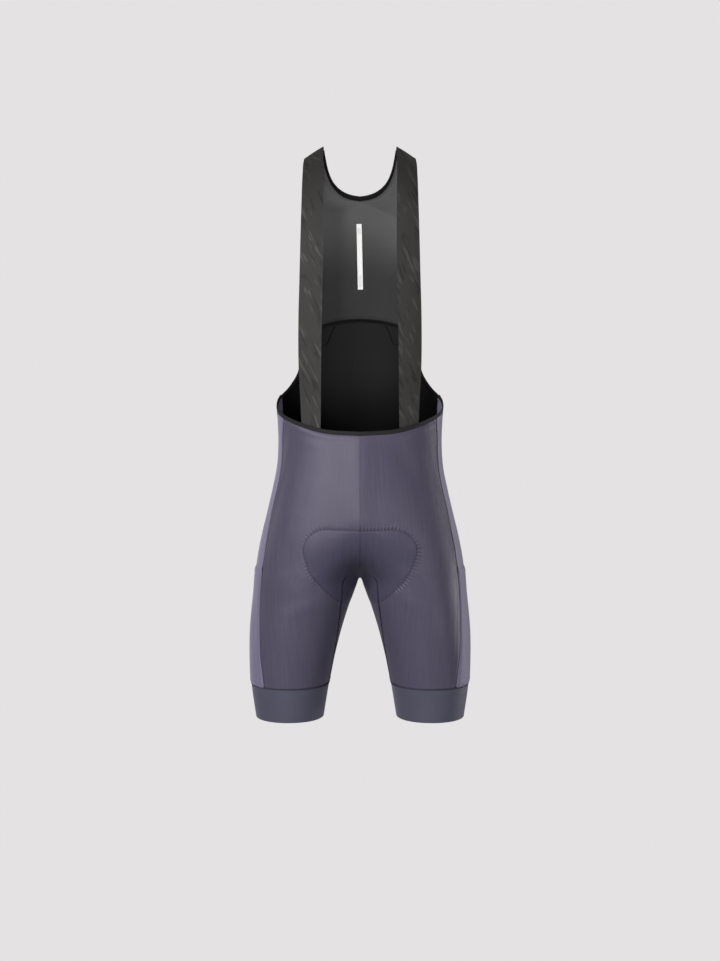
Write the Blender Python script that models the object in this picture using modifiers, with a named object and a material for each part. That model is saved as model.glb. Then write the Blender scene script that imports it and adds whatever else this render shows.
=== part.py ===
"""Cycling bib shorts, hollow, held open in the shape of the standing figure that wears them.

Metres, +Z up. The front faces -Y and the wearer's left is at +X. The origin is between the two
shoulders, at the height of the strap tops, where the wearer holds the garment up. Every piece of
cloth is a grid of points on one general figure, given a wall by Solidify. Seams are 0.3 mm gaps.
"""

import bpy
import numpy as np

MM = 0.001

# ---- Driving dimensions. Heights are measured up from the leg hems.
STRAP_TOP = 908.5 * MM
WALL = 1.2 * MM
BINDING_WALL = 2.0 * MM
STRAP_WALL = 1.0 * MM
LABEL_WALL = 1.0 * MM
PAD_WALL = 9.0 * MM
PAD_RIM = 0.25  # share of the pad's wall left at its edge
SEAM_GAP = 0.3 * MM

CENTRE_GAP = (0.16 * MM, 0.45 * MM)  # of each half from the centre plane, above and in the fork
CENTRE_EASE = (270 * MM, 300 * MM)

GRIPPER_TOP = 55 * MM
CROTCH = (6 * MM, 224.5 * MM)  # about the y and height of the lowest point between the legs
GUSSET_TOP = 242.6 * MM  # where the gusset's front and back seams cross the centre plane
WAIST_BINDING_WIDTH = 6 * MM
ARMHOLE_BINDING_WIDTH = 5 * MM
NECK_BINDING_WIDTH = 6.5 * MM
NECK_BINDING_TIP = 2.5 * MM
NECK_TAPER = (20 * MM, 55 * MM)  # how far out the neck's binding narrows
ARCH_BAND_WIDTH = 5 * MM
BIB_SEAM_SHARE = 0.84  # how far up the side panel's back edge the shorts' back panel ends
BIB_SEAM_DIP = 26 * MM  # how far that seam dips from there to the centre back
SHOULDER_SEAM = 895 * MM
SHOULDER_SLOPE, SHOULDER_CURVE = 0.55, 3.0  # fall per metre outwards, and its growth
SHOULDER_EASE = (780 * MM, 900 * MM)
STRAP_TUCK = 11 * MM  # how far a strap reaches down inside the waist binding
STRAP_GAP = 0.6 * MM  # between the two there
LABEL_SIZE = (8.5 * MM, 107 * MM)
LABEL_TOP = 796.7 * MM
LABEL_X = -1.5 * MM  # of the middle of the label's top
LABEL_GAP = 0.9 * MM
ARCH_BAND_WALL = 1.6 * MM
BACK_POCKET_INSET, BACK_POCKET_GAP = 3 * MM, 0.5 * MM
PAD_GAP = 2.0 * MM
HIP_CENTRE = (8 * MM, 315 * MM)  # y and height that the pad's profile is swept about
PAD_SWEEP = (20, -200)  # degrees about the hips, from behind under the crotch to the front
PAD_BEVEL = (5, 2.2)  # how steeply the pad's wall thins to its ends and its sides
LABEL_TILT = 0.021
POCKET_INSET = 0.8 * MM  # of a leg pocket from the seams it is sewn into
SQUARE_LEG, SQUARE_TRUNK = 2.12, 2.35  # 2 is an ellipse, more is squarer

# ---- How fine the cloth is cut into quads.
LEG_ROWS = 7
TRUNK_ROWS = 8
ROW_CROWDING = 1.5  # rows lie closer together just above the crotch
LEG_CROWDING = 1.35  # and just below it
EDGE_ROWS = 2  # rows of the side panel above the bib seam
FRONT_COLUMNS = 9
BACK_COLUMNS = 10
SIDE_COLUMNS = 5
GUSSET_COLUMNS = 6
RING_COLUMNS = 28
PAD_SHAPE = (17, 6)
STRAP_SHAPE = (26, 2)
BIB_ROWS = 6  # of the lower back above the side panel's top
POCKET_START = 2  # the row of those that the back pocket starts at
LABEL_ROWS = 5
CENTRE_ROWS = 6  # of the yoke up the centre line, below the neck
NECK_ROWS = 6  # of the yoke along the neck


def rows_of(columns, unit, *rows):
    """A table with named columns; every number is in this unit."""
    return dict(zip(columns.split(), np.array(rows, float).T * unit))


# The figure, a row for each level section. outer: half width of both legs together. gap: half the
# gap between the legs, and below nothing where they have grown into one trunk. front and back: how
# far the section reaches in Y. blend: how wide the two halves melt together at the centre plane.
FIGURE = rows_of(
    "height outer gap front back blend", MM,
    (0, 167.7, 59.2, -61, 67, 10),
    (55, 175.0, 50.1, -68, 76, 10),
    (100, 176.5, 40.7, -75, 85, 10),
    (140, 175.8, 30.6, -81, 92, 10),
    (180, 172.4, 18.2, -87, 99, 10),
    (200, 170.2, 11.1, -90, 103, 10),
    (212, 169.3, 6.7, -92, 106, 10),
    (225, 168.4, 2.0, -94, 109, 10),
    (250, 165.6, -22, -98, 115, 20),
    (290, 158.2, -58, -104, 122, 18),
    (330, 148.4, -79, -106, 123, 12),
    (365, 140.1, -86, -106, 117, 8),
    (403, 132.3, -88, -104, 106, 8),
    (442, 129.6, -89, -101, 95, 8),
    (480, 130.8, -90, -98, 88, 8),
    (510, 132.5, -90, -98, 85, 8),
    (560, 135, -90, -102, 84, 8),
    (632, 142, -90, -106, 89, 8),
    (700, 149, -90, -105, 93, 8),
    (770, 153, -90, -98, 90, 8),
    (817, 153, -90, -84, 81, 8),
    (841, 151, -90, -72, 72, 8),
    (864, 148, -90, -57, 57, 8),
    (881, 145, -90, -42, 42, 8),
    (895, 142, -90, -27, 27, 8),
)
# The side panel's two seams, by how far out they lie from the centre plane.
SIDE_SEAMS = rows_of(
    "height front back", MM,
    (55, 151.6, 158),
    (75, 154.0, 160),
    (100, 157.0, 162.5),
    (126, 158.2, 164),
    (163, 158.6, 163),
    (200, 157.5, 159.5),
    (225, 155.5, 156.5),
    (262, 150.0, 151),
    (292, 145.0, 145.5),
    (330, 138.0, 137.5),
    (381, 126.0, 128),
    (423, 121.0, 124),
    (456, 120.5, 124),
    (482, 118.5, 125.5),
    (517, 118.5, 127),
)
# The gusset's front and back seams on one leg, from the gripper up to the centre plane.
GUSSET_FRONT = rows_of(
    "x y z", MM,
    (50.5, -6, 55),
    (43.5, -13, 90),
    (38.2, -24, 122),
    (33.9, -38, 155),
    (30.2, -50, 182),
    (26.2, -58, 208),
    (21.6, -62, 225),
    (14.5, -62, 237),
    (0, -61, 242.6),
)
GUSSET_BACK = rows_of(
    "x y z", MM,
    (51.5, 20, 55),
    (44.5, 27, 90),
    (39.0, 37, 122),
    (34.8, 49, 155),
    (31.2, 60, 182),
    (27.2, 68, 208),
    (22.6, 72, 225),
    (15.0, 73, 237),
    (0, 72, 242.6),
)
# The garment's upper edge round the front and the sides, by the turn in degrees from the front.
WAIST_EDGE = {
    "turn": np.array([-13, 24, 42, 61, 77, 90, 108], float),
    "height": np.array([461, 466.5, 475, 486, 495, 503, 517], float) * MM,
}
# The side edge of the back, from the top of the side panel to the shoulder.
ARMHOLE_EDGE = rows_of(
    "height x", MM,
    (517, 127),
    (528, 117),
    (538, 110),
    (548, 104.3),
    (561, 99.8),
    (580, 97),
    (610, 95.5),
    (640, 95),
    (700, 93),
    (770, 91),
    (830, 90),
    (895, 89.3),
)
# The neck's edge, from the centre back up to the shoulder.
NECK_EDGE = rows_of(
    "x height", MM,
    (0, 839.8),
    (13.5, 841.9),
    (24, 845.4),
    (34.3, 851.6),
    (42, 859.3),
    (48.2, 870),
    (52.0, 881),
    (55, 895),
)
# The arched seam across the back, at the middle of its band.
ARCH = rows_of("x height", MM, (0, 639), (30, 636.5), (60, 630), (96, 618))
# The back pocket's upper edge: along the arch, then down and out as its opening.
BACK_POCKET_TOP = rows_of("x height", MM, (0, 633), (44, 628), (49, 618), (53, 606), (62, 601), (90, 588))
# A strap's two edges on the front, from its tucked end to the top of the shoulder.
STRAP_EDGES = rows_of(
    "height inner outer", MM,
    (455, 61.6, 90.0),
    (475, 61.1, 91.0),
    (510, 60.4, 92.5),
    (560, 59.5, 94.0),
    (632, 58.2, 94.0),
    (700, 56.7, 92.1),
    (770, 56.0, 90.4),
    (817, 56.4, 89.5),
    (841, 56.8, 89.3),
    (864, 57.2, 89.2),
    (881, 57.4, 89.0),
    (895, 57.6, 88.9),
    (908, 57.8, 88.7),
)
STRAP_EASE = (492 * MM, 550 * MM)  # a strap leaves the binding's inside between these heights
# The pad's outline on one side, from its front edge down under the crotch and up the seat.
PAD_OUTLINE = rows_of(
    "x y z", MM,
    (60, -100, 311),
    (78, -92, 298),
    (86, -91, 281),
    (82, -92, 257),
    (75, -92, 240),
    (61, -88, 221),
    (46, -78, 206),
    (34, -60, 194),
    (26, -30, 186),
    (23, 5, 183),
    (26, 40, 188),
    (36, 74, 202),
    (56, 100, 226),
    (76, 112, 256),
    (80, 116, 290),
    (60, 120, 325),
)
PAD_FRONT, PAD_BACK = 311 * MM, 332 * MM  # heights of its ends on the centre plane

# Linear colour of each cloth.
COLOURS = {
    "knit": (0.085, 0.078, 0.115),
    "side_knit": (0.135, 0.125, 0.175),
    "grip": (0.082, 0.085, 0.115),
    "black_knit": (0.010, 0.010, 0.011),
    "mesh": (0.035, 0.035, 0.036),
    "webbing": (0.052, 0.051, 0.048),
    "grey_tape": (0.036, 0.036, 0.042),
    "black_tape": (0.009, 0.009, 0.010),
    "padding": (0.020, 0.020, 0.024),
    "satin": (0.75, 0.75, 0.74),
}
ROUGHNESS = 0.55


# ---- The figure as a surface.


def read(table, name, at, by="height"):
    """A column's value at these places: a cubic curve through the rows, level past both ends."""
    x, y = table[by], table[name]
    slope = np.gradient(y, x)
    at = np.clip(at, x[0], x[-1])
    i = np.clip(np.searchsorted(x, at) - 1, 0, len(x) - 2)
    step = x[i + 1] - x[i]
    t = (at - x[i]) / step
    start = y[i] * (1 + 2 * t) * (1 - t) ** 2 + slope[i] * step * t * (1 - t) ** 2
    return start + y[i + 1] * t * t * (3 - 2 * t) + slope[i + 1] * step * t * t * (t - 1)


def ramp(at, low, high):
    """0 below low, 1 above high, and an S between."""
    t = np.clip((at - low) / (high - low), 0, 1)
    return t * t * (3 - 2 * t)


def section(z):
    """Centre and half sizes of one half's section at this height."""
    outer, gap = read(FIGURE, "outer", z), read(FIGURE, "gap", z)
    front, back = read(FIGURE, "front", z), read(FIGURE, "back", z)
    return (outer + gap) / 2, (outer - gap) / 2, (front + back) / 2, (back - front) / 2


def outside(x, y, z):
    """About how far a point lies outside the figure: two squared ellipses melted into one."""
    cx, wide, cy, deep = section(z)
    power = SQUARE_LEG + (SQUARE_TRUNK - SQUARE_LEG) * ramp(z, 200 * MM, 330 * MM)
    blend = read(FIGURE, "blend", z)
    depth = np.abs((y - cy) / deep) ** power
    near, far = (
        ((np.abs((side * x - cx) / wide) ** power + depth) ** (1 / power) - 1) * np.minimum(wide, deep)
        for side in (1, -1)
    )
    melt = np.maximum(blend - np.abs(near - far), 0) / blend
    return np.minimum(near, far) - melt**2 * blend / 4


def crossing(inside, value):
    """The parameter from 0 to the end at which value(parameter) turns positive, by halving."""
    low, high = np.zeros_like(inside), inside
    for _ in range(40):
        middle = (low + high) / 2
        out = value(middle) > 0
        low, high = np.where(out, low, middle), np.where(out, middle, high)
    return (low + high) / 2


def on_section(turn, z):
    """The figure's point at this turn, in degrees from the front, round one half's centre."""
    turn, z = np.broadcast_arrays(np.asarray(turn, float), np.asarray(z, float))
    cx, _, cy, _ = section(z)
    across, along = np.sin(np.radians(turn)), -np.cos(np.radians(turn))
    reach = crossing(np.full(z.shape, 0.3), lambda r: outside(cx + r * across, cy + r * along, z))
    return np.stack([cx + reach * across, cy + reach * along, z], axis=-1)


def at_side(x, z, side):
    """The figure's point at this x and height, on the front (side -1) or the back (side 1)."""
    x, z = np.broadcast_arrays(np.asarray(x, float), np.asarray(z, float))
    cy = section(z)[2]
    reach = crossing(np.full(z.shape, 0.3), lambda r: outside(x, cy + side * r, z))
    return np.stack([x, cy + side * reach, z], axis=-1)


def turn_of(points):
    """The turn of points round one half's centre, from -90 at the inner leg to 270 there again."""
    cx, _, cy, _ = section(points[..., 2])
    turn = np.degrees(np.arctan2(points[..., 0] - cx, -(points[..., 1] - cy)))
    return np.where(turn < -90, turn + 360, turn)


def slope(points):
    """The gradient of outside() at these points."""
    step = 1e-5
    moved = (np.eye(3) * step)[:, None] * [[1], [-1]]
    value = [[outside(*np.moveaxis(points + m, -1, 0)) for m in pair] for pair in moved]
    return np.stack([(high - low) / (2 * step) for high, low in value], axis=-1)


def onto_figure(points, level=False):
    """Points moved along the gradient until they lie on the figure; level keeps their height."""
    points = np.array(points, float)
    for _ in range(30):
        grad = slope(points)
        if level:
            grad[..., 2] = 0
        off = outside(*np.moveaxis(points, -1, 0))[..., None]
        points -= 0.8 * off * grad / np.maximum((grad**2).sum(-1, keepdims=True), 1e-3)
    return points


def lengths(points):
    """The length of a polyline from its start to each of its points."""
    return np.concatenate([[0], np.cumsum(np.linalg.norm(np.diff(points, axis=0), axis=1))])


def at_shares(curve, share):
    """Points at these shares of a polyline's length."""
    place = lengths(curve)
    return np.stack([np.interp(np.asarray(share) * place[-1], place, c) for c in curve.T], axis=-1)


def through(rows, share):
    """Points at these shares of the length of the smooth curve through some points."""
    place = lengths(rows)
    fine = np.linspace(0, place[-1], 400)
    curve = [read({"place": place, "value": c}, "value", fine, by="place") for c in rows.T]
    return at_shares(np.stack(curve, axis=-1), share)


def points_of(table, names="x y z"):
    return np.stack([table[n] for n in names.split()], axis=-1)


def between(a, b, count):
    """count points from a to b, as a new second-last axis."""
    t = np.linspace(0, 1, count)[:, None]
    return np.asarray(a)[..., None, :] * (1 - t) + np.asarray(b)[..., None, :] * t


# ---- From a grid of points to an object.


def normals(grid):
    """Unit normals of a grid; they point out when columns follow the turn and rows go up."""
    cross = np.cross(np.gradient(grid, axis=1), np.gradient(grid, axis=0))
    return cross / np.linalg.norm(cross, axis=-1, keepdims=True)


def inset(grid, sides="left right bottom top", by=SEAM_GAP / 2):
    """The grid with these sides drawn in along the cloth, so that a seam keeps its gap."""
    out, shift = normals(grid), np.zeros_like(grid)
    edges = {
        "left": ((slice(None), 0), 1),
        "right": ((slice(None), -1), -1),
        "bottom": ((0, slice(None)), -1),
        "top": ((-1, slice(None)), 1),
    }
    for name in sides.split():
        place, sign = edges[name]
        run = np.gradient(grid[place], axis=0)
        inward = sign * np.cross(run, out[place])
        shift[place] += by * inward / np.linalg.norm(inward, axis=-1, keepdims=True)
    return grid + shift


def material_of(piece, cloth):
    """A material for this piece alone, in its cloth's colour."""
    made = bpy.data.materials.new(piece + "_" + cloth)
    made.use_nodes = True
    shader = made.node_tree.nodes["Principled BSDF"]
    shader.inputs["Base Color"].default_value = (*COLOURS[cloth], 1)
    shader.inputs["Roughness"].default_value = ROUGHNESS
    return made


def sheet(name, grid, cloth, wall=WALL, mirrored=False, ring=False, weights=None, offset=0.0, turned=0):
    """An object: the grid as an open surface, a Mirror if it is half a piece, and its wall. turned
    is 1 where quads split along their other diagonal."""
    rows, columns = grid.shape[:2]
    index = np.arange(rows * columns).reshape(rows, columns)
    if ring:
        index = np.concatenate([index, index[:, :1]], axis=1)
    corners = (index[:-1, :-1], index[:-1, 1:], index[1:, 1:], index[1:, :-1])
    faces = np.roll(np.stack(corners, axis=-1).reshape(-1, 4), turned, axis=1)
    mesh = bpy.data.meshes.new(name)
    mesh.from_pydata(grid.reshape(-1, 3).tolist(), [], faces.tolist())
    mesh.materials.append(material_of(name, cloth))
    mesh.shade_smooth()
    piece = bpy.data.objects.new(name, mesh)
    collection.objects.link(piece)
    piece.parent = hems
    if mirrored:
        mirror = piece.modifiers.new("Mirror", "MIRROR")
        mirror.merge_threshold = 1e-5
    solid = piece.modifiers.new("Wall", "SOLIDIFY")
    solid.thickness = wall
    solid.offset = offset
    if weights is not None:
        group = piece.vertex_groups.new(name="wall")
        for i, weight in enumerate(weights.ravel().tolist()):
            group.add([i], weight, "REPLACE")
        solid.vertex_group = group.name
    return piece


def pair(name, grid, cloth, **settings):
    """The wearer's left piece, and the right one as its mirror image."""
    sheet(name + "_left", grid, cloth, turned=1, **settings)
    sheet(name + "_right", grid[:, ::-1] * [-1, 1, 1], cloth, **settings)


def halved(grid, columns="right"):
    """Half a piece whose mirrored half joins it: this side lies on the centre plane."""
    grid[:, 0 if columns == "left" else -1, 0] = 0
    return grid


# ---- Seams of the shorts, each a row of points shared by the pieces on both sides of it.


def edge_height(turn):
    return read(WAIST_EDGE, "height", turn, by="turn")


def side_seam(name, z):
    """The side panel's front or back seam at these heights."""
    return at_side(read(SIDE_SEAMS, name, z), z, -1 if name == "front" else 1)


def side_top(name):
    """The height of a side seam's upper end, under the binding."""
    guess = side_seam(name, SIDE_SEAMS["height"][-2])
    return float(edge_height(turn_of(guess))) - WAIST_BINDING_WIDTH


def gusset_seam(table):
    """A gusset seam from the gripper to the centre plane, with a point on each leg row."""
    share = 1 - (1 - np.linspace(0, 1, LEG_ROWS + 1)) ** LEG_CROWDING
    curve = through(points_of(table), share)
    curve[0, 2] = GRIPPER_TOP
    seam = onto_figure(curve)
    low = curve[:, 2] < CROTCH[1] - 25 * MM
    seam[low] = onto_figure(curve[low], level=True)
    seam[-1, 0] = 0
    return seam


def centre_seam(side, z):
    return at_side(np.zeros_like(z), z, side)


def trunk_rows(top, shares):
    return GUSSET_TOP + shares * (top - GUSSET_TOP)


def bend_rows(left, right, columns, low=None, high=None, start=0):
    """A grid on the figure between two seams. From row start up, heights between the seams
    follow a share of the way from curve low to curve high, functions of the column's share."""
    t = np.linspace(0, 1, columns + 1)
    turn = between(turn_of(left)[:, None], turn_of(right)[:, None], columns + 1)[..., 0]
    z = between(left[:, 2:], right[:, 2:], columns + 1)[..., 0]
    if high is not None:
        top, bottom = high(t, turn[-1]), low(t)
        share = (z[start:, :1] - z[start, 0]) / (z[-1, 0] - z[start, 0])
        z[start:] = bottom + share * (top - bottom)
    grid = on_section(turn, z)
    grid[:, 0], grid[:, -1] = left, right
    return grid


def shorts_seams():
    trunk = np.concatenate(
        [
            BIB_SEAM_SHARE * np.linspace(0, 1, TRUNK_ROWS + 1)[1:] ** ROW_CROWDING,
            np.linspace(BIB_SEAM_SHARE, 1, EDGE_ROWS + 1)[1:],
        ]
    )
    gusset = {"front": gusset_seam(GUSSET_FRONT), "back": gusset_seam(GUSSET_BACK)}
    seams = {"gusset_" + k: v for k, v in gusset.items()}
    for name in ("front", "back"):
        leg = gusset[name][:, 2].copy()
        rise = trunk_rows(side_top(name), trunk)
        seams["side_" + name] = side_seam(name, np.concatenate([leg, rise]))
    centre_front_top = float(edge_height(turn_of(centre_seam(-1, WAIST_EDGE["height"][:1])))[0])
    rise = trunk_rows(centre_front_top - WAIST_BINDING_WIDTH, trunk)
    seams["centre_front"] = centre_seam(-1, rise)
    bib_side = seams["side_back"][LEG_ROWS + TRUNK_ROWS, 2]
    rise = trunk_rows(bib_side - BIB_SEAM_DIP, trunk[:TRUNK_ROWS] / BIB_SEAM_SHARE)
    seams["centre_back"] = centre_seam(1, rise)
    return seams


def off_centre(grid):
    """The grid kept clear of the centre plane and so of its mirror image, more so in the fork."""
    by = CENTRE_GAP[1] + (CENTRE_GAP[0] - CENTRE_GAP[1]) * ramp(grid[..., 2], *CENTRE_EASE)
    grid[..., 0] = np.maximum(grid[..., 0], by)
    return grid


def crotch_level(t):
    return np.full_like(t, GUSSET_TOP)


def waist_below_binding(t, turn):
    return edge_height(turn) - WAIST_BINDING_WIDTH


def make_front(seams):
    left = np.concatenate([seams["gusset_front"], seams["centre_front"]])
    grid = bend_rows(left, seams["side_front"], FRONT_COLUMNS, crotch_level, waist_below_binding, LEG_ROWS)
    pair("front", off_centre(inset(grid)), "knit")


def make_side(seams):
    front, back = seams["side_front"], seams["side_back"]
    grid = bend_rows(front, back, SIDE_COLUMNS, crotch_level, waist_below_binding, LEG_ROWS)
    side = inset(grid)
    pair("side", side, "side_knit")
    pocket = inset(grid[: LEG_ROWS + 1], by=POCKET_INSET)
    pair("leg_pocket", pocket + normals(pocket) * (WALL + SEAM_GAP), "side_knit")


def bib_seam(seams, t):
    """Height of the seam between the shorts' back and the bib, from the side to the centre."""
    side = seams["side_back"][LEG_ROWS + TRUNK_ROWS, 2]
    return side - BIB_SEAM_DIP * (1 - (1 - t) ** 2)


def make_back(seams):
    rows = LEG_ROWS + TRUNK_ROWS + 1
    right = np.concatenate([seams["gusset_back"], seams["centre_back"]])
    left = seams["side_back"][:rows]
    high = lambda t, turn: bib_seam(seams, t)
    grid = bend_rows(left, right, BACK_COLUMNS, crotch_level, high, LEG_ROWS)
    pair("back", off_centre(inset(grid)), "knit")


def make_gusset(seams):
    """Rows run from the back seam to the front seam past the inner leg, over the crotch at the top."""
    front, back = seams["gusset_front"], seams["gusset_back"]
    crown = onto_figure(np.array([[0, *CROTCH]]))[0, 2]
    z = GRIPPER_TOP + (crown - GRIPPER_TOP) * (front[:, 2] - GRIPPER_TOP) / (front[-1, 2] - GRIPPER_TOP)
    cy = section(z)[2]
    x = crossing(section(z)[0], lambda r: -outside(r, cy, z))
    middle = np.stack([x, cy, z], axis=-1)
    middle[-1, 0] = 0
    t = np.linspace(0, 1, GUSSET_COLUMNS + 1)[:, None]
    grid = (
        back[:, None] * (1 - t) * (1 - 2 * t)
        + middle[:, None] * 4 * t * (1 - t)
        + front[:, None] * t * (2 * t - 1)
    )
    grid = onto_figure(grid)
    grid[-1, :, 0] = 0
    grid[:, 0], grid[:, -1] = back, front
    grid = inset(grid, "left right bottom")
    grid[-1, :, 0] = 0
    sheet("gusset", grid, "knit", mirrored=True)


def make_grippers():
    turn = np.linspace(-90, 270, RING_COLUMNS + 1)[:-1]
    z = np.array([0, GRIPPER_TOP - SEAM_GAP / 2])
    pair("gripper", on_section(turn[None, :], z[:, None]), "grip", ring=True)


# ---- The bib. Above the chest its sections are tilted, so that the shoulders slope.


def shoulder(points):
    """Points of the figure's back or front with the slope of the shoulders put in."""
    out = np.maximum(np.abs(points[..., 0]) - STRAP_EDGES["inner"][-1], 0)
    moved = np.array(points)
    moved[..., 2] -= (SHOULDER_SLOPE * out + SHOULDER_CURVE * out**2) * ramp(points[..., 2], *SHOULDER_EASE)
    return moved


def drawn_in(curve, by):
    """A curve on the figure moved sideways on it by this much, to the right of its run as seen
    from outside."""
    run = np.gradient(curve, axis=0)
    aside = np.cross(run, slope(curve))
    aside /= np.linalg.norm(aside, axis=-1, keepdims=True)
    return onto_figure(curve + aside * np.broadcast_to(by, len(curve))[:, None])


def arch(x):
    return read(ARCH, "height", np.abs(x), by="x")


def bib_seams(seams):
    """Adds the neck's and armhole's lines: edge is the free edge, the other is under the binding."""
    # The neck, from the centre back to the shoulder.
    edge = through(points_of(NECK_EDGE, "x height"), np.linspace(0, 1, 60))
    edge = at_side(edge[:, 0], edge[:, 1], 1)
    taper = ramp(edge[:, 0], *NECK_TAPER)
    width = NECK_BINDING_WIDTH + (NECK_BINDING_TIP - NECK_BINDING_WIDTH) * taper
    neck = drawn_in(edge, -width)
    neck[0] = at_side(0, edge[0, 2] - NECK_BINDING_WIDTH, 1)
    neck[-1] = at_side(neck[-1, 0], SHOULDER_SEAM, 1)
    share = np.linspace(0, 1, NECK_ROWS + 1)
    seams["neck"], seams["neck_edge"] = at_shares(neck, share), at_shares(edge, share)

    # The armhole, on rows of the lower back up to the arch and of the yoke above it.
    heights = np.linspace(ARMHOLE_EDGE["height"][0], SHOULDER_SEAM, 300)
    line = drawn_in(at_side(read(ARMHOLE_EDGE, "x", heights), heights, 1), ARMHOLE_BINDING_WIDTH)
    line = line[np.argsort(line[:, 2])]
    start = seams["side_back"][-1]
    arch_end = ARCH["height"][-1] + np.array([-0.5, 0.5]) * ARCH_BAND_WIDTH
    low = start[2] + (arch_end[0] - start[2]) * np.linspace(0, 1, BIB_ROWS + 1)[1:] ** 1.7
    centre = between([arch(0) + ARCH_BAND_WIDTH / 2], [neck[0, 2]], CENTRE_ROWS + 1)[:, 0]
    centre = centre_seam(1, centre)
    right = np.concatenate([centre[:-1], seams["neck"]])
    rise = lengths(right) / lengths(right)[-1]
    high = arch_end[1] + (SHOULDER_SEAM - arch_end[1]) * rise
    heights = np.concatenate([low, high])
    armhole = at_side(np.interp(heights, line[:, 2], line[:, 0]), heights, 1)
    seams["armhole"] = np.concatenate([[start], armhole])
    edge = drawn_in(seams["armhole"], -ARMHOLE_BINDING_WIDTH)
    edge[0] = on_section(turn_of(start), start[2] + WAIST_BINDING_WIDTH)
    edge[-1] = at_side(edge[-1, 0], SHOULDER_SEAM, 1)
    seams["armhole_edge"], seams["yoke_centre"] = edge, right


def make_waist_binding(seams):
    share = np.linspace(0, 1, 2 * BACK_COLUMNS)
    rows = []
    for rise in (0, WAIST_BINDING_WIDTH):
        middle = centre_seam(-1, seams["centre_front"][-1:, 2] + rise)
        turn = turn_of(middle)[0] * (1 - share) + turn_of(seams["side_back"][-1]) * share
        rows.append(on_section(turn, waist_below_binding(share, turn) + rise))
    grid = halved(inset(np.stack(rows), "right bottom"), "left")
    sheet("waist_binding", grid, "grey_tape", wall=BINDING_WALL, mirrored=True)


def make_lower_back(seams):
    """The lower back's half from the bib seam up to the arch, and the pocket on its outside."""
    left = np.concatenate([seams["side_back"][LEG_ROWS + TRUNK_ROWS :], seams["armhole"][1 : BIB_ROWS + 1]])
    middle = centre_seam(1, np.full(1, left[-1, 2]))
    turn = between(turn_of(left[-1:])[:, None], turn_of(middle)[:, None], BACK_COLUMNS + 1)[0, :, 0]
    across = on_section(turn, left[-1, 2])[:, 0]
    top = arch(across) - ARCH_BAND_WIDTH / 2
    bottom = bib_seam(seams, np.linspace(0, 1, BACK_COLUMNS + 1))
    share = (left[:, 2:] - left[0, 2]) / (left[-1, 2] - left[0, 2])
    z = bottom + share * (top - bottom)
    right = centre_seam(1, z[:, -1])
    turn = between(turn_of(left)[:, None], turn_of(right)[:, None], BACK_COLUMNS + 1)[..., 0]
    grid = on_section(turn, z)
    grid[:, 0] = left
    grid = halved(grid)
    seams["arch"] = grid[-1, :, 0]
    sheet("lower_back", halved(inset(grid, "left bottom top")), "black_knit", mirrored=True)

    pocket = grid[EDGE_ROWS + POCKET_START :].copy()
    rise = pocket[:, :, 2] - pocket[0, :, 2]
    top = read(BACK_POCKET_TOP, "height", seams["arch"], by="x") - pocket[0, :, 2]
    for i, heights in enumerate((pocket[0, :, 2] + rise * top / rise[-1]).T):
        column = grid[:, i]
        pocket[:, i] = np.stack([np.interp(heights, column[:, 2], c) for c in column.T], axis=1)
    pocket = halved(inset(pocket, "left", by=BACK_POCKET_INSET))
    pocket = halved(pocket + normals(pocket) * (WALL + BACK_POCKET_GAP))
    sheet("back_pocket", pocket, "black_knit", mirrored=True)


def make_yoke(seams):
    """The band on the arch, and the yoke above it with the neck cut out."""
    across = seams["arch"]
    middle = arch(across)
    band = at_side(across, np.stack([middle - ARCH_BAND_WIDTH / 2, middle + ARCH_BAND_WIDTH / 2]), 1)
    band[:, 0] = seams["armhole"][BIB_ROWS : BIB_ROWS + 2]
    band = halved(inset(band, "left bottom top"))
    sheet("arch_band", band, "black_tape", wall=ARCH_BAND_WALL, mirrored=True)

    left, right = seams["armhole"][BIB_ROWS + 1 :], seams["yoke_centre"]
    rise = (left[:, 2:] - left[0, 2]) / (left[-1, 2] - left[0, 2])
    share = 1 - across / across[0]
    x = left[:, :1] * (1 - share) + right[:, :1] * share
    z = left[:, 2:] * (1 - share) + right[:, 2:] * share
    z += (1 - rise) ** 2 * (middle + ARCH_BAND_WIDTH / 2 - z[0])
    grid = inset(at_side(x, z, 1))
    grid[right[:, 0] < MM / 100, -1, 0] = 0
    sheet("yoke", shoulder(grid), "mesh", mirrored=True)


def make_bindings(seams):
    neck = np.stack([seams["neck"], seams["neck_edge"]])[:, ::-1]
    neck = halved(inset(neck, "left bottom"))
    sheet("neck_binding", shoulder(neck), "black_tape", wall=BINDING_WALL, mirrored=True)
    armhole = inset(np.stack([seams["armhole_edge"], seams["armhole"]], axis=1))
    pair("armhole_binding", shoulder(armhole), "black_tape", wall=BINDING_WALL)


def make_label():
    wide, long = LABEL_SIZE
    down = np.linspace(1, 0, LABEL_ROWS + 1)[:, None] * long
    x = np.array([[0.5, -0.5]]) * wide + LABEL_X + down * LABEL_TILT
    label = at_side(x, LABEL_TOP - down, 1)
    label -= normals(label) * (WALL / 2 + LABEL_GAP + LABEL_WALL / 2)
    sheet("label", label, "satin", wall=LABEL_WALL)


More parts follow.
